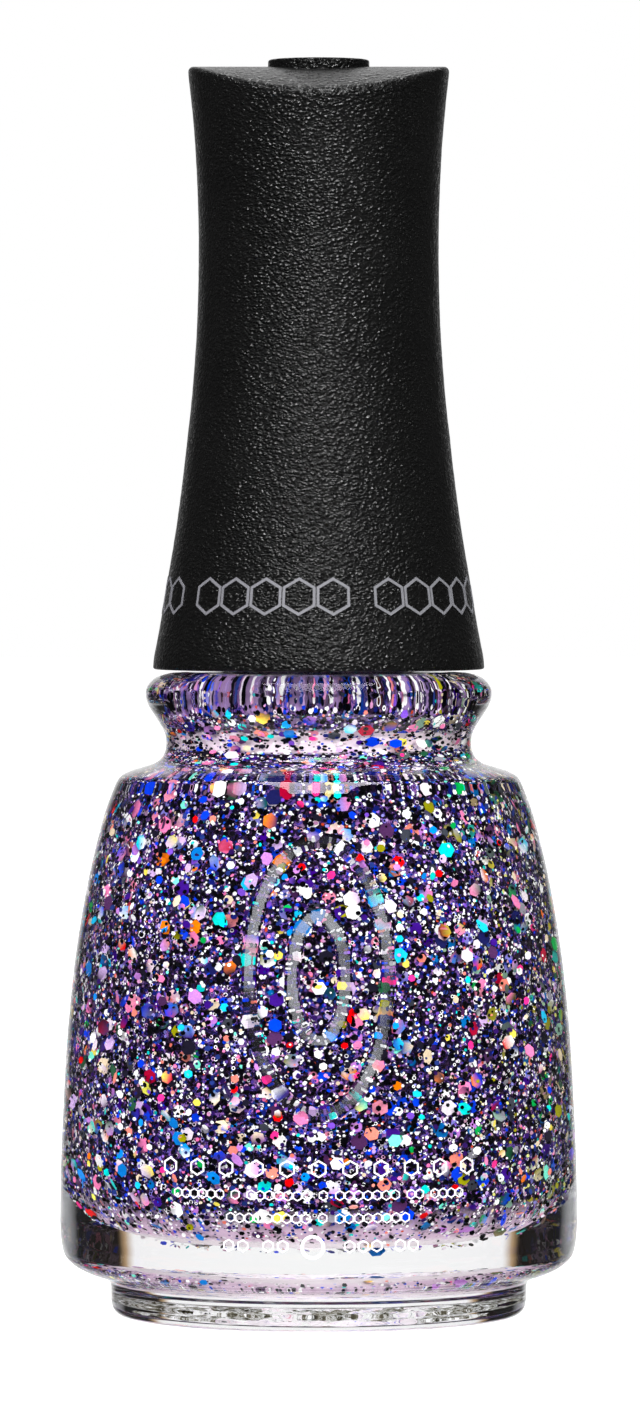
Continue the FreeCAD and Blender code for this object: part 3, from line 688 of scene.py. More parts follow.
def flakes(name, n, r0, r1, d0, d1, tilt, choose, rng, mat, sides=6, thick=0.028, gradient=0.0, keep=(1, 1, 1, 1), body="bottle"):
    """Thin hexagonal film flakes as closed prisms, each with its own colour."""
    pos, nor, ang, zz = scatter(n, d0, d1, rng, keep)
    n = len(pos)
    tl = rng.normal(0, tilt, (n, 2)).clip(-2.2 * tilt, 2.2 * tilt)
    up = np.tile([0.0, 0.0, 1.0], (n, 1))
    side = np.cross(up, nor)
    side[np.linalg.norm(side, axis=1) < 1e-3] = (1.0, 0.0, 0.0)
    side /= np.linalg.norm(side, axis=1)[:, None]
    up = np.cross(nor, side)
    nor = nor + side * np.tan(tl[:, :1]) + up * np.tan(tl[:, 1:])
    nor /= np.linalg.norm(nor, axis=1)[:, None]
    side = side - nor * (side * nor).sum(1)[:, None]
    side /= np.linalg.norm(side, axis=1)[:, None]
    up = np.cross(nor, side)
    rad = (r0 + (r1 - r0) * rng.random(n))
    spin = rng.random(n) * 2 * math.pi
    k = np.arange(sides) * 2 * math.pi / sides
    th = spin[:, None] + k[None, :]
    ring = (np.cos(th)[:, :, None] * side[:, None, :] + np.sin(th)[:, :, None] * up[:, None, :]) * rad[:, None, None]
    front = pos[:, None, :] + ring + nor[:, None, :] * thick / 2
    back = pos[:, None, :] + ring - nor[:, None, :] * thick / 2
    verts = np.concatenate([front, back], 1).reshape(-1, 3) * MM
    v = 2 * sides
    polys = []
    for b in range(n):
        o = b * v
        polys.append(tuple(range(o, o + sides)))
        polys.append(tuple(range(o + v - 1, o + sides - 1, -1)))
        for j in range(sides):
            jj = (j + 1) % sides
            polys.append((o + jj, o + j, o + sides + j, o + sides + jj))
    me = bpy.data.meshes.new(name)
    me.from_pydata(verts.tolist(), [], polys)
    me.materials.append(mat)
    col = choose(n, zz, ang, rng)                      # n x 3 linear
    cols_v = np.repeat(col[:, None, :], v, 1)
    if gradient > 0:
        some = rng.random(n) < gradient
        other = choose(n, zz, ang, rng)
        third = choose(n, zz, ang, rng)
        dirn = rng.random(n) * 2 * math.pi
        for j in range(sides):
            w = 0.5 + 0.5 * np.cos(th[:, j] - dirn)
            mixc = col * (1 - w[:, None]) + other * w[:, None]
            sharp = (w > 0.8)[:, None]
            mixc = np.where(sharp, third, mixc)
            for jj in (j, j + sides):
                cols_v[some, jj] = mixc[some]
    rgba = np.concatenate([cols_v.reshape(-1, 3), np.ones((n * v, 1))], 1).astype(np.float32)
    attr = me.color_attributes.new("flake", "FLOAT_COLOR", "POINT")
    attr.data.foreach_set("color", rgba.ravel())
    me.update()
    ob = bpy.data.objects.new(name, me)
    bpy.context.scene.collection.objects.link(ob)
    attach(ob, body)
    return ob


def chooser(table, jitter=0.12, bright=1.0, right=None):
    names = [k for k, _ in table]
    p = np.array([v for _, v in table], float)
    p /= p.sum()
    rgb = np.array([lin(PALETTE.get(k, k))[:3] for k in names])

    def pick(n, zz, ang, rng):
        c = rgb[rng.choice(len(names), n, p=p)]
        # painted light: towards the right-hand side up to 45% of flakes are swapped for olive, cream and green, the
        # cast of the light falling on that side
        if right:
            side = np.clip((np.sin(ang) - 0.62) * 1.8, 0, 0.45)
            swap = rng.random(n) < side
            warm = np.array([lin(PALETTE.get(k, k))[:3] for k in right])
            c = np.where(swap[:, None], warm[rng.integers(0, len(right), n)], c)
        grey = c.mean(1, keepdims=True)
        c = (grey + (c - grey) * 1.10).clip(0, 1)
        c = c * (bright * (1 + jitter * rng.normal(size=(n, 1)))).clip(0.35, 1.6)
        return c.clip(0, 1)
    return pick


# painted light: flake colours for the olive, cream and green cast on the right-hand side
RIGHT_LIGHT_CAST = ["olive", "cream", "green", "#2f8f86", "white", "#9a8f3c", "forest", "ink", "#7a9a8a", "#4f5a58", "#8a7a5c", "grey"]
big = chooser([("ink", 12), ("violet", 9), ("plum", 8), ("navy", 8), ("royal", 10), ("sky", 4), ("blue", 6), ("cyan", 4), ("turquoise", 4), ("mint", 2),
               ("pink", 8), ("orchid", 6), ("lavender", 6), ("pearl", 8), ("white", 13), ("cream", 5), ("yellow", 3), ("salmon", 4), ("orange", 3),
               ("red", 3), ("crimson", 4), ("green", 2), ("forest", 5), ("olive", 4), ("slate", 8), ("rose", 5)], right=RIGHT_LIGHT_CAST)
medium = chooser([("white", 30), ("pearl", 9), ("lavender", 6), ("pink", 8), ("hotpink", 5), ("red", 7), ("salmon", 7), ("orange", 4), ("yellow", 4),
                  ("mint", 5), ("turquoise", 8), ("cyan", 4), ("sky", 4), ("royal", 9), ("purple", 6), ("orchid", 5), ("green", 3), ("olive", 3),
                  ("cream", 6), ("ink", 11), ("slate", 6), ("violet", 6), ("grey", 3)], right=RIGHT_LIGHT_CAST)
light_speck = chooser([("white", 56), ("pearl", 8), ("#c790b8", 10), ("#bf92aa", 6), ("#8d728e", 4), ("#694f60", 5), ("#8e8bd1", 9), ("royal", 15), ("#273675", 14), ("turquoise", 3), ("pink", 6), ("cream", 4), ("mint", 2), ("purple", 5), ("salmon", 5)], right=["white", "cream", "#c8c87a", "#8fae8f", "#10100c", "olive"])
dark_speck = chooser([("#010102", 70), ("#040308", 8), ("#141a5a", 9), ("#2a1650", 5), ("#273675", 8)])

scale_n = 1.0
glitter = []
glitter.append(flakes("glitter_hex_large", int(900 * scale_n), 0.42, 0.56, 0.10, 0.80, math.radians(15), big, np.random.default_rng(11), FLAKE, gradient=0.40, keep=(1.15, 0.4, 0.0, 0.04)))
glitter.append(flakes("glitter_hex_medium", int(1250 * scale_n), 0.22, 0.33, 0.06, 0.60, math.radians(18), medium, np.random.default_rng(12), FLAKE, gradient=0.12, keep=(1.05, 0.35, 0.0, 0.10)))
glitter.append(flakes("glitter_specks_light", int(9200 * scale_n), 0.055, 0.15, 0.05, 0.70, math.radians(22), light_speck, np.random.default_rng(13), SPECK, thick=0.02, keep=(0.40, 0.9, 0.9, 0.45)))
glitter.append(flakes("glitter_specks_dark", int(11800 * scale_n), 0.075, 0.22, 0.03, 0.60, math.radians(22), dark_speck, np.random.default_rng(14), SPECK, thick=0.02, keep=(1.0, 0.36, 0.9, 0.0)))

# ------------------------------------------------------------------ outer cap
CAP = [(11.36, 44.60), (11.28, 45.20), (11.12, 46.00), (10.91, 47.10), (10.63, 48.74), (10.36, 50.39), (10.08, 52.03), (9.81, 53.68), (9.57, 55.33),
       (9.36, 56.97), (9.16, 58.62), (8.98, 60.27), (8.79, 61.91), (8.63, 63.56), (8.50, 65.20), (8.39, 66.85), (8.31, 68.50), (8.26, 70.14), (8.23, 71.79),
       (8.22, 73.43), (8.24, 75.08), (8.29, 76.73), (8.36, 78.38), (8.45, 80.02), (8.58, 81.67), (8.74, 83.31), (8.92, 84.96), (8.95, 85.60)]
CAP_R = np.array(CAP)
DOME_R, CAP_TOP = 20.30, 85.51


def cap_r(z):
    return float(np.interp(z, CAP_R[:, 1], CAP_R[:, 0]))


_cs = np.array(smooth(CAP, 0.1))


def cap_rs(z):
    return float(np.interp(z, _cs[:, 1], _cs[:, 0]))


def dome(y):
    return CAP_TOP - (DOME_R - math.sqrt(DOME_R ** 2 - y * y))


def grain(p):
    """Slow unevenness of the moulding, in mm."""
    from mathutils import noise as mn
    return 0.012 * mn.noise((p[0] * 1.7, p[1] * 1.7, p[2] * 1.7)) + 0.008 * mn.noise((p[0] * 3.1, p[1] * 3.1, p[2] * 3.1 + 7))


def make_cap():
    n = 300
    angles = even_angles(n)
    verts, rows = [], []

    def add(fn):
        row = []
        for a in angles:
            row.append(len(verts))
            p = fn(a)
            verts.append((p[0] * MM, p[1] * MM, p[2] * MM))
        rows.append(row)

    fil = 0.30
    # inside: hollow top, hollow wall, ledge, skirt
    inner_prof = rounded([(0.0, 82.80), (5.65, 82.80), (6.85, 81.60), (6.85, 58.84), (7.85, 58.80), (10.05, 44.48), (10.15, 44.28)],
                         [0.5, 0.5, 0.12, 0.1, 0.15], 3, 1.5)
    for r, z in inner_prof[1:]:
        add(lambda a, r=r, z=z: (r * math.sin(a), -r * math.cos(a), z))
    # bottom edge and outside wall
    for r, z in [(10.30, 44.28), (11.05, 44.28)] + corner((10, 44.28), (11.36, 44.28), (11.36, 44.9), 0.16, 4):
        add(lambda a, r=r, z=z: (r * math.sin(a), -r * math.cos(a), z))
    m = 190
    for i in range(1, m + 1):
        f = i / m

        def side(a, f=f):
            rim = cap_rs(84.2)
            y = -rim * math.cos(a)
            top = dome(y) - fil * 1.15
            z = 44.62 + (top - 44.62) * f
            r = cap_rs(z)
            s = min(1.0, f * 12, (1 - f) * 30)
            r += s * grain((r * math.sin(a), -r * math.cos(a), z))
            return (r * math.sin(a), -r * math.cos(a), z)
        add(side)
    # rim: rounded into the barrel top
    for k in range(1, 6):
        def rim_fn(a, k=k):
            rim = cap_rs(84.2)
            y0 = -rim * math.cos(a)
            z_side = dome(y0) - fil * 1.15
            r_side = cap_rs(z_side)
            t = math.pi / 2 * k / 5
            r = r_side - fil * (1 - math.cos(t))
            zz = z_side + (dome(-r * math.cos(a)) - z_side) * math.sin(t)
            return (r * math.sin(a), -r * math.cos(a), zz)
        add(rim_fn)
    for f in np.linspace(0.94, 0.03, 34):
        def top_fn(a, f=f):
            r = (cap_rs(84.2) - fil) * f
            y = -r * math.cos(a)
            x = r * math.sin(a)
            s = min(1.0, (1 - f) * 10)
            return (x, y, dome(y) + s * 0.6 * grain((x, y, 90.0)))
        add(top_fn)
    faces = []
    for a, b in zip(rows[:-1], rows[1:]):
        for k in range(n):
            j = (k + 1) % n
            faces.append((a[k], a[j], b[j], b[k]))
    lo = len(verts)
    verts.append((0, 0, 82.80 * MM))
    hi = len(verts)
    verts.append((0, 0, CAP_TOP * MM))
    for k in range(n):
        j = (k + 1) % n
        faces.append((lo, rows[0][j], rows[0][k]))
        faces.append((hi, rows[-1][k], rows[-1][j]))
    return new_object("cap_shell", verts, faces, [BLACK], body="cap", slot="black_grained_plastic")


cap = make_cap()
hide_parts("outer_cap")

# raised ring on the barrel top
emblem = lathe("cap_emblem_ring", rounded([(2.55, 84.9), (3.47, 84.9), (3.465, 86.0), (2.55, 86.0), (2.55, 84.95)], [0.02, 0.16, 0.16], 4, 0.25),
               even_angles(96), [BLACK], closed_loop=True, body="cap", slot="black_grained_plastic")

# ribs that grip the inner cap
bm = bmesh.new()
for i in range(8):
    a = math.radians(22.5 + 45 * i)
    u, v = (math.cos(a), math.sin(a)), (-math.sin(a), math.cos(a))
    prev = None
    loops = []
    for z, r0, w in ((45.4, 7.85, 0.34), (45.8, 7.66, 0.45), (51.0, 7.66, 0.45), (58.6, 7.66, 0.45)):
        r1 = np.interp(z, [44.5, 58.8], [10.15, 8.0])
        ring = []
        for rr, ww in ((r0 + 0.12, -w), (r0, -w + 0.12), (r0, w - 0.12), (r0 + 0.12, w), (r1, w), (r1, -w)):
            ring.append(bm.verts.new(((u[0] * rr + v[0] * ww) * MM, (u[1] * rr + v[1] * ww) * MM, z * MM)))
        loops.append(ring)
    for A, B in zip(loops[:-1], loops[1:]):
        for k in range(6):
            j = (k + 1) % 6
            bm.faces.new((A[k], A[j], B[j], B[k]))
    bm.faces.new(loops[0][::-1])
    bm.faces.new(loops[-1])
bmesh.ops.recalc_face_normals(bm, faces=bm.faces)
me = bpy.data.meshes.new("cap_grip_ribs")
bm.to_mesh(me)
bm.free()
me.materials.append(BLACK)
ribs = bpy.data.objects.new("cap_grip_ribs", me)
bpy.context.scene.collection.objects.link(ribs)
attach(ribs, "cap")

# ------------------------------------------------------------------ inner cap
ic = rounded([(0.0, 58.80), (0.0, 58.15), (3.05, 58.15), (3.05, 57.85), (3.36, 57.55), (3.36, 57.15), (3.05, 57.05), (3.05, 56.35), (6.60, 56.35), (6.60, 44.80),
              (6.80, 44.60), (7.70, 44.60), (7.70, 58.80), (0.0, 58.80)], [0, 0.05, 0.02, 0.05, 0.05, 0.02, 0.08, 0.3, 0.06, 0.06, 0.2, 0.3], 3, 0.16)[1:]


def inner_cap_shape(r, z, phi):
    a = (phi + math.pi) % (2 * math.pi) - math.pi
    if 6.55 < r < 6.65 and 46.0 < z < 55.4:
        for k in range(-1, 5):
            turn = a / (2 * math.pi) + k
            if -0.02 < turn < 3.52:
                d = abs(z - (47.0 + PITCH * turn))
                if d < 0.62:
                    r += 0.48 * min(1.0, (0.62 - d) / 0.34)
                    break
    elif 7.6 < r and 45.2 < z < 57.0:
        r -= 0.04 * (0.5 + 0.5 * math.cos(a * 60))
    return (r * math.sin(a), -r * math.cos(a), z)


inner_cap = lathe("inner_cap_shell", ic, even_angles(240), [WHITE], shape=inner_cap_shape, body="cap", slot="white_plastic")
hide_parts("inner_cap")

# ------------------------------------------------------------------ wand
stem = lathe("wand_stem_moulding", join(
    [(0.0, 27.40)], line((0.6, 27.40), (1.05, 27.40), 0.3), line((1.05, 27.3), (1.05, 25.1), 0.4),
    corner((1.05, 26), (1.05, 25.0), (1.5, 25.0), 0.1, 3), corner((1.05, 25.0), (1.50, 25.0), (1.50, 26.0), 0.16, 4),
    line((1.5, 25.3), (1.75, 52.0), 0.9), corner((1.74, 51), (1.75, 52.5), (3.4, 52.6), 0.35, 4), corner((3.0, 52.6), (3.92, 52.75), (3.92, 54.0), 0.35, 4),
    line((3.92, 53.4), (3.92, 55.3), 0.4), corner((3.92, 55), (3.92, 55.5), (5.2, 55.5), 0.08, 2), corner((4.5, 55.5), (5.2, 55.5), (5.2, 56.25), 0.15, 3),
    corner((5.2, 55.5), (5.2, 56.25), (3.0, 56.25), 0.15, 3), corner((5.2, 56.25), (3.0, 56.25), (3.0, 57), 0.05, 2), line((3.0, 56.4), (3.0, 57.1), 0.4),
    corner((3.0, 56.9), (3.0, 57.16), (3.28, 57.25), 0.04, 2), corner((3.0, 57.16), (3.28, 57.25), (3.28, 57.45), 0.05, 3), [(3.28, 57.42), (3.22, 57.54)],
    line((3.1, 57.66), (2.84, 57.98), 0.3), [(2.70, 58.05), (1.5, 58.05), (1.25, 58.00), (1.2, 57.9)], line((1.2, 57.7), (1.15, 55.4), 0.7), [(1.0, 55.22), (0.0, 55.20)]),
    even_angles(96), [STEM], body="wand", slot="stem_plastic")
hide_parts("wand_stem")


def tuft_r(z):
    return float(np.interp(z, [9.0, 9.5, 10.6, 12.5, 16.5, 20.5, 23.6, 25.0, 27.3], [0.9, 1.18, 1.44, 1.50, 1.46, 1.34, 1.14, 1.0, 0.98]))


def make_bristles():
    rng = np.random.default_rng(5)
    verts, faces, cols_v = [], [], []
    n = 260
    golden = math.pi * (3 - math.sqrt(5))
    for i in range(n):
        f = math.sqrt((i + 0.5) / n)
        a = i * golden + rng.normal(0, 0.05)
        wob = rng.normal(0, 0.05, 2)
        tip = 9.02 + 0.9 * f * f + abs(rng.normal(0, 0.10))
        zs = np.concatenate([np.linspace(27.2, 22.0, 4), np.linspace(19.5, tip, 7)])
        prev = None
        rr = 0.046
        for k, z in enumerate(zs):
            R = (tuft_r(max(z, 9.6)) - 0.06) * f
            t = (27.2 - z) / 18.0
            cx, cy = R * math.cos(a) + wob[0] * t, R * math.sin(a) + wob[1] * t
            q = math.hypot(cx, cy)
            lim = tuft_r(z) - 0.03
            if q > lim:
                cx, cy = cx * lim / q, cy * lim / q
            r = rr * (1.0 if k < len(zs) - 1 else 0.55)
            ring = []
            for s in range(5):
                b = 2 * math.pi * s / 5
                ring.append(len(verts))
                verts.append(((cx + r * math.cos(b)) * MM, (cy + r * math.sin(b)) * MM, z * MM))
            if prev:
                for s in range(5):
                    faces.append((prev[s], prev[(s + 1) % 5], ring[(s + 1) % 5], ring[s]))
            else:
                faces.append(tuple(ring))
            prev = ring
        faces.append(tuple(prev[::-1]))
    return verts, faces


def bristle_material():
    t = Tree("bristle_nylon")
    z = t.xyz(t.coord)[2]
    wet = t.value_ramp(t.math("MULTIPLY", z, 20.0), [(0.44, 1.0), (0.52, 0.0)])
    n1 = t.noise(2500, 3.0, 0.6)
    dry = t.ramp(n1, [(0.3, lin("#131118")), (0.7, lin("#2c2838"))])
    coat = t.ramp(t.noise(3000, 3.0, 0.6), [(0.35, lin("#1b1530")), (0.5, lin("#5a4a74")), (0.62, lin("#c9b6da"))])
    p = t.principled(IOR=1.5)
    t.put(p.inputs["Base Color"], t.mix(t.math("MULTIPLY", wet, 0.8), dry, coat))
    t.put(p.inputs["Roughness"], t.value_ramp(n1, [(0.3, 0.22), (0.7, 0.38)]))
    return t.finish(p.outputs[0])


bv, bf = make_bristles()
bristles = new_object("bristle_filaments", bv, bf, [bristle_material()], body="wand", slot="bristle_nylon")
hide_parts("bristle_tuft")
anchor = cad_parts["bristle_anchor"]
anchor.data.materials.clear()
anchor.data.materials.append(BRASS)


# ------------------------------------------------------------------ agitator balls and label
def ball(node, name, body):
    lo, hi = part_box(node)
    c = [(lo[i] + hi[i]) / 2 / MM for i in range(3)]
    pts = [(2.0 * math.sin(math.pi * k / 24), c[2] - 2.0 * math.cos(math.pi * k / 24)) for k in range(25)]
    pts[0], pts[-1] = (0.0, c[2] - 2.0), (0.0, c[2] + 2.0)
    ob = lathe(name, pts, even_angles(48), [STEEL], shape=lambda r, z, a: (c[0] + r * math.sin(a), c[1] - r * math.cos(a), z), body=body, slot="ball_steel")
    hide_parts(node)
    return ob


ball("mixing_ball_1", "agitator_ball_1", "ball_1")
ball("mixing_ball_2", "agitator_ball_2", "ball_2")
label = lathe("base_label_disc", rounded([(0.0, 0.50), (10.5, 0.50), (10.5, 0.592), (0.0, 0.592)], [0.03, 0.03], 2, 1.0), even_angles(128), [PAPER],
              body="bottle", slot="label_paper")
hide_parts("base_label")


# ------------------------------------------------------------------ print on the glass and the cap
def glass_r(z):
    return float(np.interp(z, [p[1] for p in BODY], [p[0] for p in BODY]))


def wrapped(name, shapes, radius_of, mat, body, slot, thick=0.03, lift=0.012):
    """Flat print shapes, each a closed (u, z) outline in mm (u along the surface), wrapped on a round wall as thin closed pieces."""
    verts, faces = [], []
    for loop, hole in shapes:
        n = len(loop)
        base = len(verts)
        middle = radius_of(sum(z for _, z in loop) / n)      # one radius for the angles, so that a mark isn't skewed on a tapered wall
        for layer in (lift + thick, -0.02):
            for u, z in loop:
                R = radius_of(z)
                a = u / middle
                verts.append(((R + layer) * math.sin(a) * MM, -(R + layer) * math.cos(a) * MM, z * MM))
        if hole is None:
            faces.append(tuple(base + i for i in range(n)))
            faces.append(tuple(base + n + i for i in reversed(range(n))))
            for i in range(n):
                j = (i + 1) % n
                faces.append((base + j, base + i, base + n + i, base + n + j))
        else:
            hb = len(verts)
            for layer in (lift + thick, -0.02):
                for u, z in hole:
                    R = radius_of(z)
                    a = u / middle
                    verts.append(((R + layer) * math.sin(a) * MM, -(R + layer) * math.cos(a) * MM, z * MM))
            for i in range(n):
                j = (i + 1) % n
                faces.append((base + i, base + j, hb + j, hb + i))
                faces.append((base + n + j, base + n + i, hb + n + i, hb + n + j))
                faces.append((base + j, base + i, base + n + i, base + n + j))
                faces.append((hb + i, hb + j, hb + n + j, hb + n + i))
    return new_object(name, verts, faces, [mat], smooth_on=False, body=body, slot=slot)


def ngon(u, z, r, n, start=90.0, sub=1):
    pts = [(u + r * math.cos(math.radians(start + 360 * k / n)), z + r * math.sin(math.radians(start + 360 * k / n))) for k in range(n)]
    out = []
    for i in range(n):
        a, b = pts[i], pts[(i + 1) % n]
        for s in range(sub):
            out.append((a[0] + (b[0] - a[0]) * s / sub, a[1] + (b[1] - a[1]) * s / sub))
    return out


def hexagon(u, z, r, w, sub=3):
    return (ngon(u, z, r, 6, 90, sub), ngon(u, z, r - w, 6, 90, sub))


def bar(u0, u1, z, h, sub=0.5):
    """Rounded bar as an outline."""
    r = h / 2
    pts = []
    for k in range(7):
        t = math.pi / 2 - math.pi * k / 6
        pts.append((u1 - r + r * math.cos(t), z + r * math.sin(t)))
    m = max(1, int((u1 - u0) / sub))
    for k in range(1, m):
        pts.append((u1 - r + (u0 + r - u1 + r) * k / m, z - r))
    for k in range(7):
        t = -math.pi / 2 - math.pi * k / 6
        pts.append((u0 + r + r * math.cos(t), z + r * math.sin(t)))
    for k in range(1, m):
        pts.append((u0 + r + (u1 - r - u0 - r) * k / m, z + r))
    return pts


def bar_quads(u0, u1, z, h):
    """A rounded bar as one outline with no hole."""
    return (bar(u0, u1, z, h), None)


cap_marks = []
circ = 2 * math.pi * cap_rs(49.35)
period = circ / 5
group0 = -(318.7 - 266.5) * 0.0686 * 1.02
for g in range(5):
    for k in range(5):
        u = group0 + g * period + (k - 2) * 2.32
        cap_marks.append(hexagon(u, 49.35, 1.30, 0.22))
cap_print = wrapped("cap_hexagon_print", cap_marks, cap_rs, SILVER, "cap", "black_grained_plastic", 0.02, 0.02)

marks = []
for k in range(11):
    u = -10.2 + 20.4 * k / 10
    marks.append(hexagon(u * 1.03, 11.35, 0.60, 0.13, 2))
rng = np.random.default_rng(9)


def words(u0, u1, z, r, counts, w=0.09):
    """Groups of small hexagon outlines along a row."""
    total = sum(counts) + 0.75 * (len(counts) - 1)
    step = (u1 - u0) / total
    u = u0 + step / 2
    for c in counts:
        for _ in range(c):
            marks.append(hexagon(u, z + rng.uniform(-0.02, 0.02), r, w, 1))
            u += step
        u += 0.75 * step


words(-10.2, 10.2, 9.58, 0.36, [6, 1, 7, 1, 7, 2, 4])
words(-6.3, 6.2, 8.06, 0.36, [9, 1, 8])
words(-6.6, -1.9, 6.20, 0.44, [2, 2], 0.12)
words(1.6, 6.9, 6.20, 0.44, [3, 2], 0.12)
marks.append((ngon(-0.4, 6.15, 0.82, 32), ngon(-0.4, 6.15, 0.60, 32)))
glass_print = wrapped("glass_white_print", marks, lambda z: float(np.interp(z, [5.9, 7.6, 9.9, 12.0], [17.77, 17.77, 17.73, 17.66])), PRINT, "bottle", "clear_glass", 0.02, 0.015)

# ------------------------------------------------------------------ floor, world, lights, camera
bm = bmesh.new()
S = 2.6
grid = [[bm.verts.new((x, y, 0.0)) for x in np.linspace(-S, S, 9)] for y in np.linspace(-S, S, 9)]
for i in range(8):
    for j in range(8):
        bm.faces.new((grid[i][j], grid[i][j + 1], grid[i + 1][j + 1], grid[i + 1][j]))
me = bpy.data.meshes.new("studio_floor")
bm.to_mesh(me)
bm.free()
floor = bpy.data.objects.new("studio_floor", me)
bpy.context.scene.collection.objects.link(floor)
t = Tree("studio_floor_white")
p = t.principled(Roughness=0.8)
t.put(p.inputs["Base Color"], t.ramp(t.noise(6.0, 2.0, 0.5), [(0.3, (0.93, 0.93, 0.93, 1)), (0.7, (0.95, 0.95, 0.95, 1))]))
p.inputs["Specular IOR Level"].default_value = 0.0
me.materials.append(t.finish(p.outputs[0]))
floor.visible_transmission = False
floor.visible_glossy = False
floor.visible_shadow = False
label.visible_shadow = False

world = bpy.data.worlds.new("studio")
bpy.context.scene.world = world
world.use_nodes = True
wt = world.node_tree
wt.nodes.clear()
wout = wt.nodes.new("ShaderNodeOutputWorld")
geo = wt.nodes.new("ShaderNodeTexCoord")
sep = wt.nodes.new("ShaderNodeSeparateXYZ")
wt.links.new(geo.outputs["Generated"], sep.inputs[0])


def wmath(op, a, b=None, clamp=False):
    node = wt.nodes.new("ShaderNodeMath")
    node.operation = op
    node.use_clamp = clamp
    for s, v in zip(node.inputs, (a, b)):
        if v is None:
            continue
        if isinstance(v, bpy.types.NodeSocket):
            wt.links.new(v, s)
        else:
            s.default_value = v
    return node.outputs[0]


def wramp(fac, stops):
    node = wt.nodes.new("ShaderNodeValToRGB")
    cr = node.color_ramp
    while len(cr.elements) < len(stops):
        cr.elements.new(0.5)
    for e, (pos, c) in zip(cr.elements, stops):
        e.position = pos
        e.color = tuple(c) + (1,) if len(c) == 3 else c
    wt.links.new(fac, node.inputs[0])
    return node.outputs["Color"]


# azimuth away from straight behind the bottle: 0 behind (+Y), 1 in front (-Y)
az = wmath("DIVIDE", wmath("ABSOLUTE", wmath("ARCTAN2", sep.outputs[0], sep.outputs[1])), math.pi)
el = wmath("ADD", wmath("MULTIPLY", sep.outputs[2], 0.5), 0.5)
ring_col = wramp(az, [(0.0, (1.0, 1.0, 1.0)), (0.185, (0.98, 0.97, 0.98)), (0.200, (0.45, 0.30, 0.16)), (0.212, (0.015, 0.012, 0.010)), (0.33, (0.012, 0.012, 0.012)),
                      (0.40, (0.62, 0.63, 0.65)), (0.50, (0.70, 0.71, 0.72)), (0.56, (0.06, 0.06, 0.07)), (0.74, (0.03, 0.03, 0.03)), (1.0, (0.04, 0.04, 0.045))])
ring_gloss = wramp(az, [(0.0, (1.0, 1.0, 1.0)), (0.08, (0.80, 0.80, 0.80)), (0.14, (0.05, 0.05, 0.05)), (0.40, (0.010, 0.010, 0.010)), (1.0, (0.008, 0.008, 0.008))])
up_col = wramp(el, [(0.0, (0.80, 0.79, 0.80)), (0.80, (0.7, 0.7, 0.72)), (1.0, (0.8, 0.8, 0.82))])
near_level = wramp(el, [(0.0, (1, 1, 1)), (0.74, (1, 1, 1)), (0.84, (0, 0, 0))])
mixn = wt.nodes.new("ShaderNodeMix")
mixn.data_type = "RGBA"
wt.links.new(near_level, mixn.inputs["Factor"])
wt.links.new(up_col, mixn.inputs["A"])
ringm = wt.nodes.new("ShaderNodeMix")
ringm.data_type = "RGBA"
lp = wt.nodes.new("ShaderNodeLightPath")
wt.links.new(lp.outputs["Is Transmission Ray"], ringm.inputs["Factor"])
wt.links.new(ring_gloss, ringm.inputs["A"])
wt.links.new(mixn.outputs["Result"], ringm.inputs["B"])
wt.links.new(ring_col, mixn.inputs["B"])
bg_studio = wt.nodes.new("ShaderNodeBackground")
wt.links.new(ringm.outputs["Result"], bg_studio.inputs["Color"])
bg_studio.inputs["Strength"].default_value = 1.0
bg_fill = wt.nodes.new("ShaderNodeBackground")
bg_fill.inputs["Color"].default_value = (1, 1, 1, 1)
bg_fill.inputs["Strength"].default_value = 1.10
bg_cam = wt.nodes.new("ShaderNodeBackground")
bg_cam.inputs["Color"].default_value = (1, 1, 1, 1)
bg_cam.inputs["Strength"].default_value = 1.0
m1 = wt.nodes.new("ShaderNodeMixShader")
wt.links.new(wmath("MAXIMUM", lp.outputs["Is Glossy Ray"], lp.outputs["Is Transmission Ray"]), m1.inputs[0])
wt.links.new(bg_fill.outputs[0], m1.inputs[1])
wt.links.new(bg_studio.outputs[0], m1.inputs[2])
m2 = wt.nodes.new("ShaderNodeMixShader")
wt.links.new(lp.outputs["Is Camera Ray"], m2.inputs[0])
wt.links.new(m1.outputs[0], m2.inputs[1])
wt.links.new(bg_cam.outputs[0], m2.inputs[2])
wt.links.new(m2.outputs[0], wout.inputs["Surface"])


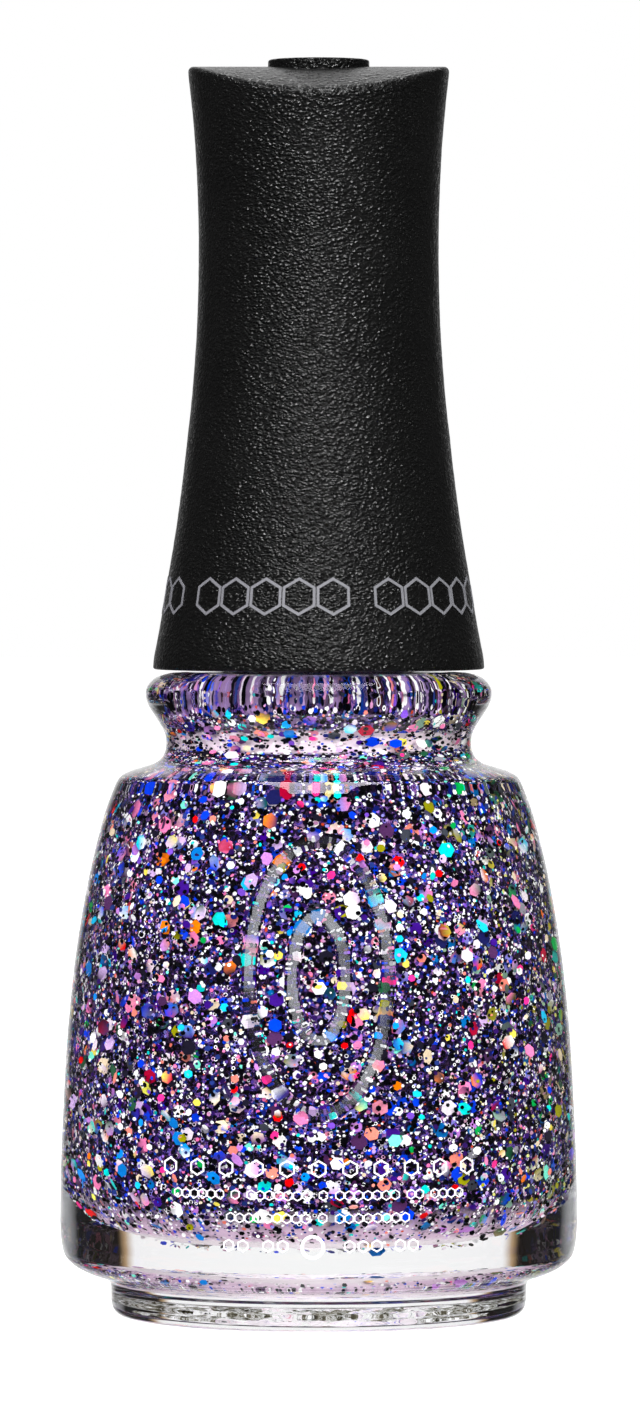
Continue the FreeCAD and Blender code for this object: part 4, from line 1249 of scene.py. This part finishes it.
def area(name, loc, target, sx, sy, watts, glossy=True, colour=(1, 1, 1), only=None):
    ld = bpy.data.lights.new(name, "AREA")
    ld.shape = "RECTANGLE"
    ld.size, ld.size_y = sx, sy
    ld.energy = watts
    ld.color = colour
    ob = bpy.data.objects.new(name, ld)
    bpy.context.scene.collection.objects.link(ob)
    from mathutils import Vector
    d = Vector(target) - Vector(loc)
    ob.location = loc
    ob.rotation_euler = d.to_track_quat("-Z", "Y").to_euler()
    ob.visible_camera = False
    ob.visible_glossy = glossy
    ob.visible_transmission = False
    if only is not None:
        group = bpy.data.collections.new(name + "_receivers")
        for o in only:
            group.objects.link(o)
        ob.light_linking.receiver_collection = group
    return ob


area("soft_front", (0.0, -0.85, 0.50), (0, 0, 0.045), 0.75, 0.42, 15.0, glossy=False)
area("soft_left", (-0.80, -0.55, 0.40), (0, 0, 0.03), 0.5, 0.6, 10.0, glossy=False, colour=(1.0, 0.95, 0.99))
area("soft_right", (0.80, -0.55, 0.40), (0, 0, 0.03), 0.5, 0.6, 10.0, glossy=False, colour=(0.97, 1.0, 0.93))
area("soft_top", (0.0, 0.05, 0.95), (0, 0, 0.0), 0.9, 0.9, 6.0, glossy=False)
area("cap_sheen", (-0.01, -0.34, 0.56), (0, 0, 0.070), 0.11, 0.18, 4.7, only=[cap, emblem, cap_print])
area("cap_top_glow", (0.0, 0.55, 0.42), (0, 0, 0.085), 0.12, 0.25, 0.14, only=[cap, emblem])
area("base_glow", (0.0, -0.05, -0.30), (0, 0, 0.0), 0.7, 0.7, 8.0, glossy=False, only=[lacquer] + glitter)
area("shoulder_bar", (0.0, -0.25, 0.60), (0, -0.24, 0.037), 0.40, 0.70, 8.0, colour=(0.95, 0.90, 1.0), only=[bottle_glass])

cam_d = bpy.data.cameras.new("camera")
cam_d.lens = 7950.0 / 1403.0 * 36.0
cam_d.sensor_width = 36.0
cam_d.sensor_fit = "AUTO"
cam_d.clip_start = 0.05
cam_d.clip_end = 20.0
cam = bpy.data.objects.new("camera", cam_d)
bpy.context.scene.collection.objects.link(cam)
cam.location = (0.00009, -0.5454, 0.0545)
cam.rotation_euler = (math.pi / 2 - math.atan((701.5 - 520.0) / 7950.0), 0.0, 0.0)
bpy.context.scene.camera = cam
bpy.context.scene.view_settings.view_transform = "Standard"
bpy.context.scene.view_settings.look = "None"
